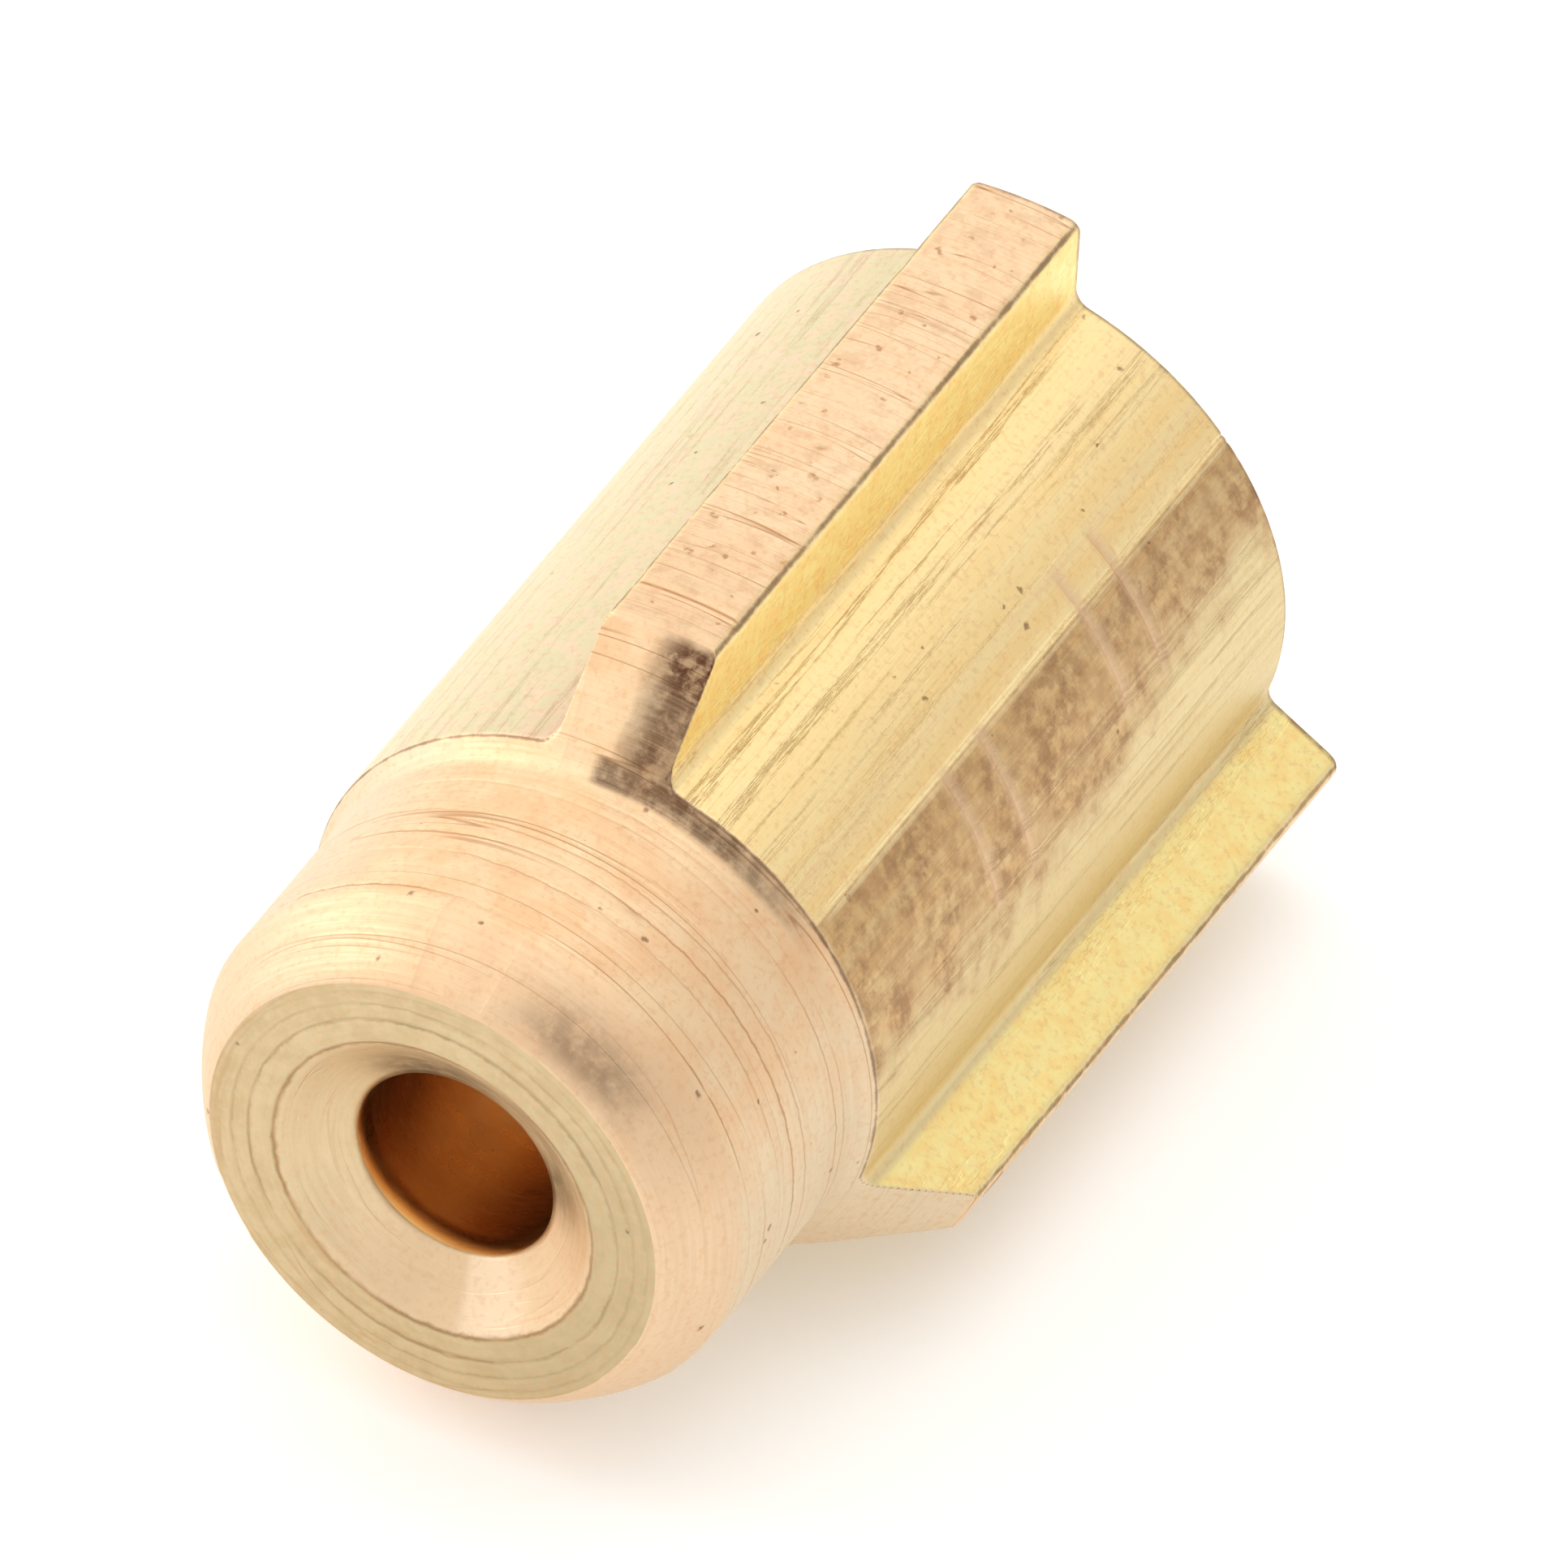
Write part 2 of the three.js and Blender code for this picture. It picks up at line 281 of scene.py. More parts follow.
# %% One rib's columns
rib_half_width = 0.775
rib_root_fillet = 0.28
rib_corner_round = 0.16
rib_count = 3
upright_rib = math.pi / 2
fillet_steps = 6
flank_steps = 13
corner_steps = 6
crest_steps = 7


def rib_columns():
    """Half a rib from its root up: (angle from its middle, radius, cornerness, crestness)."""
    root_across = rib_half_width + rib_root_fillet
    root_along = math.sqrt((barrel_radius + rib_root_fillet) ** 2 - root_across**2)
    corner_across = rib_half_width - rib_corner_round
    corner_along = math.sqrt((rib_radius - rib_corner_round) ** 2 - corner_across**2)
    found = []

    def keep(out, across, corner=0.0, crest=0.0):
        found.append((math.atan2(across, out), math.hypot(out, across), corner, crest))

    to_barrel = math.atan2(root_across, root_along) - math.pi
    for step in range(fillet_steps):
        angle = to_barrel + (-math.pi / 2 - to_barrel) * step / fillet_steps
        out = root_along + rib_root_fillet * math.cos(angle)
        keep(out, root_across + rib_root_fillet * math.sin(angle))
    for step in range(flank_steps):
        keep(root_along + (corner_along - root_along) * step / flank_steps, rib_half_width)
    to_crest = math.atan2(corner_across, corner_along)
    for step in range(corner_steps + 1):
        share = step / corner_steps
        angle = math.pi / 2 + (to_crest - math.pi / 2) * share
        out = corner_along + rib_corner_round * math.cos(angle)
        across = corner_across + rib_corner_round * math.sin(angle)
        keep(out, across, math.sin(math.pi * share) ** 2, share)
    for step in range(1, crest_steps + 1):
        found.append((to_crest * (1 - step / crest_steps), rib_radius, 0.0, 1.0))
    return found


half_rib = rib_columns()
print("columns in half a rib:", len(half_rib))

# %% The whole outline, round once
barrel_step = math.radians(2.5)
scratch_angle = math.radians(41.7)
scratch_offsets = (-0.11, -0.08, -0.055, -0.03, 0.0, 0.03, 0.055, 0.08, 0.11)
scratch_clear = 0.14
column_list = []
for index in range(rib_count):
    middle = upright_rib + index * full_turn / rib_count
    rising = [(middle - offset, *rest, index) for offset, *rest in half_rib]
    falling = [(middle + offset, *rest, index) for offset, *rest in reversed(half_rib[:-1])]
    barrel_from = middle + half_rib[0][0]
    barrel_to = middle + full_turn / rib_count - half_rib[0][0]
    barrel_columns = round((barrel_to - barrel_from) / barrel_step)
    barrel_width = barrel_to - barrel_from
    angles = [barrel_from + barrel_width * step / barrel_columns for step in range(1, barrel_columns)]
    scratched = scratch_angle + full_turn
    if barrel_from < scratched < barrel_to:
        angles = [angle for angle in angles if abs(angle - scratched) > scratch_clear / barrel_radius]
        angles += [scratched + offset / barrel_radius for offset in scratch_offsets]
    column_list += rising + falling + [(angle, barrel_radius, 0.0, 0.0, -1) for angle in sorted(angles)]

columns = np.array(column_list)
column_angle, column_radius, column_corner, column_crest, column_rib = columns.T
print("columns round the body:", len(columns))

# %% [markdown]
# ## How far out the lathe leaves the metal
# The front end was turned after the bar was drawn. At each distance from the spray face the tool leaves
# one radius: the chamfer, which bulges a little, the nose, a fillet and a flare at 45 degrees. The body's
# surface is the smaller of this radius and the bar's outline. A sharp minimum would show the mesh's steps
# along the ribs' cut ends, so a soft minimum rounds that edge by a few hundredths of a millimetre, which
# is also what a deburred edge has.

# %% The turned radius
face_radius = 3.18
nose_radius = 3.8
nose_length = 3.92
nose_fillet = 0.5
chamfer_length = 1.05
chamfer_bulge = 0.12
chamfer_middle = (face_radius + nose_radius) / 2 + chamfer_bulge
face_break = 0.035
face_break_slope = 1.3
edge_softness = 0.05
fillet_start = nose_length - nose_fillet * math.tan(math.pi / 8)
fillet_end = fillet_start + nose_fillet * math.sin(math.pi / 4)
flare_start = nose_length + barrel_radius - nose_radius
flare_end = nose_length + rib_radius - nose_radius
tool_ring_places = (1.2, 1.62, 1.98, 2.34, 2.63, 2.8, 3.42, 3.62)
tool_ring_depths = (0.010, 0.006, 0.007, 0.009, 0.006, 0.005, 0.007, 0.005)
tool_rings = tuple(zip(tool_ring_places, tool_ring_depths))
ring_half_width = 0.022
ring_wander = 0.012
faintest_ring = 0.35


def bell(distance, width):
    """1 at no distance, falling smoothly to nothing at about twice the width."""
    return np.exp(-((distance / width) ** 2))


def soft_minimum(first, second, softness):
    """The smaller of two numbers, rounded where they are within the softness of each other."""
    overlap = np.maximum(softness - np.abs(first - second), 0.0) / softness
    return np.minimum(first, second) - overlap**2 * softness / 4


def turned_radius(along, angle):
    """The radius that turning leaves, with the shallow rings that the tool cut into the nose."""
    share = np.clip(along / chamfer_length, 0.0, 1.0)
    bulge = 2 * share * (1 - share) * chamfer_middle
    chamfer = (1 - share) ** 2 * face_radius + bulge + share**2 * nose_radius
    inside = np.clip(along - fillet_start, 0.0, fillet_end - fillet_start)
    fillet = nose_radius + nose_fillet - np.sqrt(nose_fillet**2 - inside**2)
    flare = nose_radius + along - nose_length
    radius = np.where(along < chamfer_length, chamfer, np.where(along < fillet_end, fillet, flare))
    radius = soft_minimum(radius, face_radius - face_break + face_break_slope * along, face_break)
    for place, depth in tool_rings:
        wander = place + ring_wander * np.sin(angle * 2 + place * 7)
        strength = faintest_ring + (1 - faintest_ring) * np.clip(np.sin(angle + place * 9.1) + 0.6, 0, 1)
        radius = radius - depth * strength * bell(along - wander, ring_half_width)
    return radius


print("flare from", round(flare_start, 3), "to", round(flare_end, 3))

# %% [markdown]
# ## The filed corner
# One rib's lower front corner is filed off at a slant. A flat that cuts a shape described by radii is
# easy to apply: along each ray from the axis the flat has one radius, and the surface is pulled in to it
# wherever it stood further out.

# %% The filed flat
filed_rib_angle = upright_rib - full_turn / rib_count
filed_run_out = 1.2
filed_softness = 0.03
filed_rim_width = 0.06
filed_half_angle = 0.35
filed_length = 2.5
least_facing = 0.05
flat_root = Vector((barrel_radius, rib_half_width, flare_start))
flat_crest = Vector((rib_radius, 0.0, flare_end))
flat_runout = Vector((rib_radius, rib_half_width, flare_end + filed_run_out))
flat_along = (flat_crest - flat_root).normalized()
flat_outward = (flat_runout - flat_root).cross(flat_along).normalized()


def filed(radius, along, angle):
    """Pulls the surface in to the filed flat. Also says how near each point is to the flat's rim."""
    offset = (filed_rib_angle - angle + math.pi) % full_turn - math.pi
    facing = flat_outward.x * np.cos(offset) + flat_outward.y * np.sin(offset)
    reach = flat_outward.dot(flat_root) - flat_outward.z * along
    flat_radius = reach / np.maximum(facing, 1e-6)
    beside = (np.abs(offset) < filed_half_angle) & (facing > least_facing)
    between_ends = (along > flare_start - 0.05) & (along < flare_end + filed_length)
    in_reach = beside & between_ends & (flat_radius > barrel_radius - 0.02)
    rim = np.where(in_reach, bell(radius - flat_radius, filed_rim_width), 0.0)
    return np.where(in_reach, soft_minimum(radius, flat_radius, filed_softness), radius), rim


print("the flat faces", [round(value, 3) for value in flat_outward])

# %% [markdown]
# ## Small damage and the inspector's marks
# A body that has been in a bin with a thousand others is never perfect. The barrel carries a double
# scratch along its length, the rib's corners are nicked, and two groups of short bars are stamped into
# one side as plain inspection marks. All of these are real dips in the surface, a few hundredths of a
# millimetre deep, so that they catch the light from any side.

# %% Marks cut into the barrel
stamp_groups = (
    (math.radians(27.4), (7.4, 8.3)),
    (math.radians(34.8), (10.95, 11.85)),
)
stamp_half_height = 0.95
stamp_depth = 0.032
stamp_half_width = 0.09
stamp_lip = 0.02
lip_place = 1.35 * stamp_half_width
lip_width = 0.035
scratch_depth = 0.024
scratch_half_width = 0.026
scratch_spacing = 0.11
second_scratch = 0.75
nick_size = 0.07
small_nick_size = 0.02


def stamp_shape(along, angle):
    """How deep the stamped bars reach, and how strongly a point belongs to one."""
    depth = 0 * along * angle
    nearness = 0 * along * angle
    for middle, places in stamp_groups:
        for place in places:
            beyond = np.maximum(np.abs(angle - middle) * barrel_radius - stamp_half_height, 0.0)
            gap = np.sqrt((along - place) ** 2 + beyond**2)
            groove = np.clip(1 - gap / stamp_half_width, 0.0, 1.0)
            lip = bell(gap - lip_place, lip_width)
            depth = np.maximum(depth, stamp_depth * groove * (2 - groove)) - stamp_lip * lip
            nearness = np.maximum(nearness, np.clip(1 - gap / (2 * stamp_half_width), 0.0, 1.0))
    return depth, nearness


def scratch_shape(angle):
    """The two fine lines that run along the barrel."""
    turned_away = (angle - scratch_angle + math.pi) % full_turn - math.pi
    across = turned_away * barrel_radius
    first = bell(across - scratch_spacing / 2, scratch_half_width)
    second = bell(across + scratch_spacing / 2, scratch_half_width)
    return np.maximum(first, second_scratch * second)


def nick_depth(along, rib, angle):
    """Small dents along a rib's corners, from smooth noise, so they come out the same every time."""
    side = 5.0 if math.sin(angle * 7) > 0 else 0.0
    coarse = noise.noise(Vector((along * 1.9, 3.1 * rib + side, 0.4)))
    fine = noise.noise(Vector((along * 7.0, 2.3 * rib + side, 8.4)))
    return nick_size * max(coarse - 0.22, 0.0) + small_nick_size * max(fine - 0.1, 0.0)


print("stamped bars:", sum(len(places) for _, places in stamp_groups))

# %% [markdown]
# ## Rows along the body
# The body is one closed skin. It starts at the spray face's rim, runs back over the nose and the ribs,
# turns in across the back face, comes forward again through the inlet, the chamber and the bore, and
# meets itself at the spray face. Each row of that skin is one trip round the axis. Rows lie close where
# the shape changes and wide apart on the plain barrel.

# %% Where the outside rows lie
crest_step = 6.0
closest_rows = 0.012
plain_run = flare_end + 1.5


def spread(start, stop, step):
    """Evenly spread distances from start up to, but not including, stop."""
    count = max(1, round((stop - start) / step))
    return [start + (stop - start) * index / count for index in range(count)]


runs = (
    (0.0, 0.08, 0.02),
    (0.08, chamfer_length, 0.08),
    (chamfer_length, fillet_start, 0.1),
    (fillet_start, flare_end + 0.06, 0.034),
    (flare_end + 0.06, plain_run, 0.14),
    (plain_run, body_length - 0.12, 0.24),
)
wanted_rows = [place for run in runs for place in spread(*run)]
wanted_rows += [crest_step - closest_rows, crest_step + closest_rows]
wanted_rows += [body_length - 0.12, body_length - 0.09, body_length - 0.06, body_length - 0.03]
for place, _ in tool_rings:
    wanted_rows += [place + offset * ring_half_width for offset in (-1.6, -0.8, 0.0, 0.8, 1.6)]
for _, places in stamp_groups:
    wanted_rows += [place + step * 0.03 for place in places for step in range(-5, 6)]
wanted_rows.sort()
kept_rows = wanted_rows[:1]
for place in wanted_rows[1:]:
    if place - kept_rows[-1] > closest_rows:
        kept_rows.append(place)
outside_rows = np.array(kept_rows)
print("rows along the outside:", len(outside_rows))

# %% The outside skin
rim_break = 0.06
crest_step_depth = 0.014
edge_reach = 0.045
scratch_start = 4.3


def outside_skin():
    """Radii of the outside, and how far each point is an edge, turned, in a mark or in a scratch."""
    along = outside_rows[:, None]
    angle = column_angle[None, :]
    corner, crest = column_corner[None, :], column_crest[None, :]
    turned = turned_radius(along, angle)
    outline = column_radius[None, :] + 0 * along
    closeness = bell(turned - outline, edge_reach)
    behind = np.clip((turned - outline) / 0.05, 0.0, 1.0)
    radius = soft_minimum(outline, turned, edge_softness)
    radius = radius - crest_step_depth * crest * (along < crest_step)
    radius, filed_rim = filed(radius, along, angle)
    unfiled = 1 - np.clip((np.minimum(outline, turned) - radius - edge_softness / 4) / 0.02, 0.0, 1.0)
    rim = np.clip(along - (body_length - rim_break), 0.0, rim_break)
    radius = radius - rim**2 / rim_break * 0.8
    on_barrel = (column_rib[None, :] < 0) * behind
    depth, nearness = stamp_shape(along, angle % full_turn)
    scratch = scratch_shape(angle) * on_barrel * (1 - nearness) * np.clip((along - scratch_start) / 0.3, 0, 1)
    radius = radius - depth * on_barrel - scratch_depth * scratch
    for number in np.nonzero(column_corner > 0.05)[0]:
        for row in np.nonzero(behind[:, number] > 0.5)[0]:
            nick = nick_depth(outside_rows[row], column_rib[number], column_angle[number])
            radius[row, number] -= nick * column_corner[number]
    edge = np.maximum(closeness, corner * behind) * unfiled
    edge = np.maximum(edge, (rim / rim_break) ** 2)
    edge = np.maximum(edge, filed_rim * behind)
    return radius, edge, np.maximum(1 - behind, crest), nearness * on_barrel, scratch


skin_radius, skin_edge, skin_turned, skin_mark, skin_scratch = outside_skin()
print("outside radius from", round(skin_radius.min(), 3), "to", round(skin_radius.max(), 3))

# %% [markdown]
# ## The inside of the body
# Behind the back face the inlet is threaded for the strainer's carrier. The thread is one spiral: the
# wall moves out and in again once for each half millimetre of pitch, and the same spiral turned round
# the axis is what a screw follows. It is cut outward from the bore that the carrier passes, so nothing
# touches when the carrier is unscrewed.

# %% Rows through the inside
bore_radius = 1.4
countersink_radius = 2.24
countersink_depth = 0.58
shoulder_depth = 3.6
chamber_radius = 2.5
inlet_radius = 2.8
inlet_depth = 2.7
inlet_chamfer = 0.15
chamfer_rows = 4
thread_pitch = 0.5
inner_thread_depth = 0.16
thread_stop = 0.35
corner_break = 0.02
rim_edge = 0.6


def thread_wave(along, angle):
    """From 0 on the thread's crest to 1 at its root, for a right-hand thread."""
    phase = (along / thread_pitch + angle / full_turn) % 1.0
    return np.clip(1.35 * (1 - np.abs(2 * phase - 1)) - 0.15, 0.0, 1.0)


inside_rows = []


def inside_row(along, radius, edge=0.0, threaded=0.0):
    inside_rows.append((along, radius, edge, threaded))


def step_in(place, wide, narrow):
    """A square step from a wide bore to a narrow one, with its corners broken."""
    inside_row(place + corner_break, wide)
    inside_row(place, wide - corner_break)
    inside_row(place, narrow + 0.03, rim_edge)
    inside_row(place - 0.03, narrow, rim_edge)


inlet_floor = body_length - inlet_depth
for step in range(chamfer_rows + 1):
    share = step / chamfer_rows
    edge = 1.0 - abs(2 * share - 1)
    inside_row(body_length - inlet_chamfer * share, inlet_radius + inlet_chamfer * (1 - share), edge)
row_step = thread_pitch / 8
thread_rows = int((inlet_depth - inlet_chamfer - thread_stop) / row_step)
for step in range(1, thread_rows):
    inside_row(body_length - inlet_chamfer - step * row_step, inlet_radius, 0.0, 1.0)
inside_row(inlet_floor + 0.2, inlet_radius)
step_in(inlet_floor, inlet_radius, chamber_radius)
for place in spread(inlet_floor - 0.5, shoulder_depth + 0.1, -1.2):
    inside_row(place, chamber_radius)
step_in(shoulder_depth, chamber_radius, bore_radius)
for place in spread(shoulder_depth - 0.35, countersink_depth + 0.05, -0.4):
    inside_row(place, bore_radius)
print("rows through the inside:", len(inside_rows))

# %% The spray face, the countersink and the back face
face_rings = ((2.6, 0.014), (2.84, 0.008), (3.03, 0.005))
face_ring_width = 0.02
sink_steps = 12
sink_bulge = 0.035
rim_round = 0.02


def face_row(radius):
    """One row of the spray face, sunk a little where the facing tool left a ring."""
    dip = 0.0 * column_angle
    for place, depth in face_rings:
        wander = place + 0.01 * np.sin(column_angle + place * 5)
        dip = dip + depth * bell(radius - wander, face_ring_width)
    return dip


front_rows = []
for step in range(sink_steps + 1):
    share = step / sink_steps
    radius = bore_radius + (countersink_radius - bore_radius) * share
    along = countersink_depth * (1 - share) + sink_bulge * math.sin(math.pi * share)
    if step in (0, sink_steps):
        outward = 1 if step else -1
        front_rows.append((along + rim_round / 2, radius + outward * rim_round, 1.0))
    else:
        front_rows.append((along, radius, 0.0))
face_radii = spread(countersink_radius + 0.05, face_radius - 0.05, 0.1)
for place, _ in face_rings:
    face_radii += [place + offset for offset in (-0.03, -0.015, 0.0, 0.015, 0.03)]
face_radii.sort()
back_inner = inlet_radius + inlet_chamfer
back_steps = 7
print("rows over the front:", len(front_rows) + len(face_radii))

# %% Join every row into one closed skin
outer_zone, face_zone, inner_zone = 0, 1, 2
skin = []


def skin_row(along, radius, zone, edge=0.0, turned=1.0, mark=0.0, scratch=0.0):
    values = (along, radius, edge, turned, mark, scratch)
    skin.append(([0.0 * column_angle + value for value in values], zone))


outside = zip(outside_rows, skin_radius, skin_edge, skin_turned, skin_mark, skin_scratch)
for place, radius, *facts in outside:
    skin_row(place, radius, outer_zone, *facts)
back_outline = skin_radius[-1] - 0.03
skin_row(body_length - 0.008, back_outline + 0.012, outer_zone, 1.0, 0.0)
for step in range(back_steps + 1):
    share = step / back_steps
    rows_radius = back_outline - 0.02 + (back_inner - back_outline + 0.04) * share
    skin_row(body_length, rows_radius, face_zone, 0.8 if step in (0, back_steps) else 0.0)
for along, radius, edge, threaded in inside_rows:
    cut = threaded * inner_thread_depth * thread_wave(along, column_angle)
    skin_row(along, radius + cut, inner_zone, edge)
for along, radius, edge in front_rows:
    skin_row(along, radius, face_zone, edge)
for radius in face_radii:
    skin_row(face_row(radius), radius, face_zone)
skin_row(0.0, face_radius - face_break - 0.03, face_zone, 0.5)
print("rows in the whole skin:", len(skin), "points:", len(skin) * len(columns))

# %% [markdown]
# ## From rows to a mesh
# Each row is joined to the next, and the last to the first, so the skin has no open edge. The numbers that
# the metal's finish needs are kept with the points: how near a point is to an edge, whether the lathe cut
# it, and whether it lies in a stamped mark or a scratch.

# %% Mesh maker for closed rows
def mesh_of_rows(name, points, zones, facts):
    """A closed mesh from rows of points round the axis. Facts are named numbers for each point."""
    rows, count = points.shape[:2]
    here = np.arange(rows * count).reshape(rows, count)
    beside = np.roll(here, -1, axis=1)
    ahead = np.roll(here, -1, axis=0)
    ahead_beside = np.roll(beside, -1, axis=0)
    quads = np.stack([here, ahead, ahead_beside, beside], axis=-1).reshape(-1, 4)
    mesh = bpy.data.meshes.new(name)
    mesh.from_pydata(points.reshape(-1, 3).tolist(), [], quads.tolist())
    for fact_name, values in facts.items():
        layer = mesh.attributes.new(fact_name, "FLOAT", "POINT")
        layer.data.foreach_set("value", np.ascontiguousarray(values, dtype=np.float32).ravel())
    mesh.polygons.foreach_set("material_index", np.repeat(zones, count).astype(np.int32))
    mesh.polygons.foreach_set("use_smooth", np.ones(len(quads), dtype=bool))
    mesh.validate()
    mesh.update()
    return mesh


def show(mesh, body, node):
    """Puts a mesh in the scene as the piece that stands for one CAD node."""
    piece = bpy.data.objects.new(mesh.name, mesh)
    bpy.context.scene.collection.objects.link(piece)
    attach(piece, body)
    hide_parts(node)
    print(mesh.name, "has", len(mesh.polygons), "faces")
    return piece


# %% Nozzle body
skin_values = np.array([values for values, _ in skin])
skin_along, skin_radii = skin_values[:, 0], skin_values[:, 1]
fact_names = ("edge", "turned", "mark", "scratch")
body_facts = {name: skin_values[:, 2 + index] for index, name in enumerate(fact_names)}
body_zones = np.array([zone for _, zone in skin])
body_points = placed(skin_along, column_angle[None, :], skin_radii)
body_mesh = mesh_of_rows("ribbed_body", body_points, body_zones, body_facts)
ribbed_body = show(body_mesh, "nozzle", "nozzle_body")

# %% [markdown]
# ## Finishes as node groups
# Brass from one bar ends up with several finishes: drawn, turned, faced and bored. They share the same few
# effects, so each effect is a node group that is built once and used with its own values. The first group
# gives any point its place in the nozzle's own numbers. The sine and the cosine of the angle are used for
# the patterns instead of the angle itself, because the angle jumps at half a turn and would leave a seam.

# %% Make a group with named sockets, and use one
def new_group(name, inputs):
    """Starts a shader group. Gives it back with its inputs as fields."""
    group = bpy.data.node_groups.new(name, "ShaderNodeTree")
    for label, default in inputs.items():
        socket = group.interface.new_socket(name=label, in_out="INPUT", socket_type="NodeSocketFloat")
        socket.default_value = default
    start = add_node(group, "NodeGroupInput")
    return group, {label: Field(group, start.outputs[label]) for label in inputs}


def finish_group(group, outputs):
    """Gives a group its named outputs and joins them."""
    for label in outputs:
        group.interface.new_socket(name=label, in_out="OUTPUT", socket_type="NodeSocketFloat")
    end = add_node(group, "NodeGroupOutput")
    for label, value in outputs.items():
        plug(value, end.inputs[label])
    print("group", group.name, "gives", ", ".join(outputs))


def use_group(tree, group, **values):
    """Places a group in a tree and gives back its outputs. In a value's name, _ stands for a space."""
    node = add_node(tree, "ShaderNodeGroup", node_tree=group)
    for name, value in values.items():
        plug(value, node.inputs[name.replace("_", " ")])
    return {socket.name: Field(tree, socket) for socket in node.outputs}


def noisy(place, scale=1.0, detail=2.0, roughness=0.5):
    inputs = {"Vector": place, "Scale": scale, "Detail": detail, "Roughness": roughness}
    return made("ShaderNodeTexNoise", inputs, "Fac")


def place_in_mm(tree):
    """A point's own place in millimetres."""
    place = Field(tree, add_node(tree, "ShaderNodeTexCoord").outputs["Object"])
    return made("ShaderNodeVectorMath", {0: place, "Scale": 1 / mm}, operation="SCALE")


def fact(tree, name):
    """A number that the mesh keeps with its points."""
    return Field(tree, add_node(tree, "ShaderNodeAttribute", attribute_name=name).outputs["Fac"])


# %% Group: the nozzle's own numbers
nozzle_axes, _ = new_group("nozzle_axes", {})
across, deep, up = parts_of(place_in_mm(nozzle_axes))
up = up - axis_height
radius = calc("MAXIMUM", calc("SQRT", across * across + up * up), mm)
own_numbers = {
    "Along": deep - front_y,
    "Radius": radius,
    "Turn": calc("ARCTAN2", up, across) * math.degrees(1),
    "Cosine": across / radius,
    "Sine": up / radius,
}
finish_group(nozzle_axes, own_numbers)


def round_place(own, reach, third):
    """A place for noise with no seam round the axis: a circle of some reach, and a third number."""
    return made("ShaderNodeCombineXYZ", {0: own["Cosine"] * reach, 1: own["Sine"] * reach, 2: third})


def lines_in(pattern, half_width, chosen):
    """Thin lines where a pattern crosses its middle, kept only where they are chosen."""
    return mapped(calc("ABSOLUTE", pattern - 0.5), half_width, 0.0) * chosen


# %% [markdown]
# Drawn bar is pulled through a die, which leaves streaks along its length. Noise that is fine round the bar
# and almost still along it makes them: a broad set for the bands of colour, a fine set for single lines.

# %% Group: streaks of drawn bar
drawn_streaks, given = new_group("drawn_streaks", {"Per mm": 5.0, "Stretch": 0.12})
own = use_group(drawn_streaks, nozzle_axes)
place = round_place(own, given["Per mm"] * barrel_radius, own["Along"] * given["Stretch"])
fine = noisy(place, 2.6, 4.0, 0.7)
chosen = mapped(noisy(place, 0.9, 1.0), 0.5, 0.64)
lines = lines_in(fine, 0.045, chosen)
finish_group(drawn_streaks, {"Bands": noisy(place, 0.32), "Fine": fine, "Lines": lines})

# %% [markdown]
# A lathe leaves rings. They are the same noise turned the other way: fine along the axis and slow round it,
# so that a ring starts, runs part of the way round and fades. On the faces the radius takes the part that
# the distance along has on the nose, so both are added, and one input says which way they add.

# %% Group: rings left by the lathe
lathe_rings, given = new_group("lathe_rings", {"Per mm": 7.0, "Along share": 1.0, "Slowness": 1.6})
own = use_group(lathe_rings, nozzle_axes)
path = own["Radius"] + own["Along"] * given["Along share"]
place = round_place(own, given["Slowness"], path * given["Per mm"])
fine = noisy(place, 2.4, 3.0, 0.65)
bands = noisy(place, 0.55, 1.0)
chosen = mapped(noisy(place, 0.35), 0.47, 0.6)
finish_group(lathe_rings, {"Fine": fine, "Lines": lines_in(bands, 0.022, chosen), "Bands": bands})

# %% [markdown]
# Small dark specks and pits sit where dirt or a grain of oxide was pressed into the brass. A cell pattern
# gives each speck its place. Only some cells are used, and a little noise makes the specks uneven. The same
# group gives three noises with no direction: a broad mottle, a closer blotch and a fine grain.

# %% Group: specks and pits
specks_group, given = new_group("specks_and_pits", {"Per mm": 2.2, "Amount": 0.3, "Size": 0.16})
place = place_in_mm(specks_group)
bend = made("ShaderNodeTexNoise", {"Vector": place, "Scale": 9.0}, "Color")
bend_reach = (0.12, 0.12, 0.12)
bent = made("ShaderNodeVectorMath", {0: bend, 1: bend_reach, 2: place}, operation="MULTIPLY_ADD")
cell_inputs = {"Vector": bent, "Scale": given["Per mm"]}
off_centre = made("ShaderNodeTexVoronoi", cell_inputs, "Distance")
lot, size_lot, _ = parts_of(made("ShaderNodeTexVoronoi", cell_inputs, "Color"))
used = calc("LESS_THAN", lot, given["Amount"])
reach = given["Size"] * (size_lot + 0.35)
speck_outputs = {
    "Specks": mapped(off_centre, reach, reach * 0.4) * used,
    "Mottle": noisy(place, 1.3, 5.0, 0.6),
    "Blotch": noisy(place, 3.6, 4.0, 0.65),
    "Grain": mapped(noisy(place, 11.0, 2.0, 0.6), 0.48, 0.72),
}
finish_group(specks_group, speck_outputs)

# %% [markdown]
# Edges age in two ways. Grime and burrs darken the line itself, and handling rubs it bright here and there.
# The mesh says how near an edge each point lies, and noise breaks the line up so that it is never even.

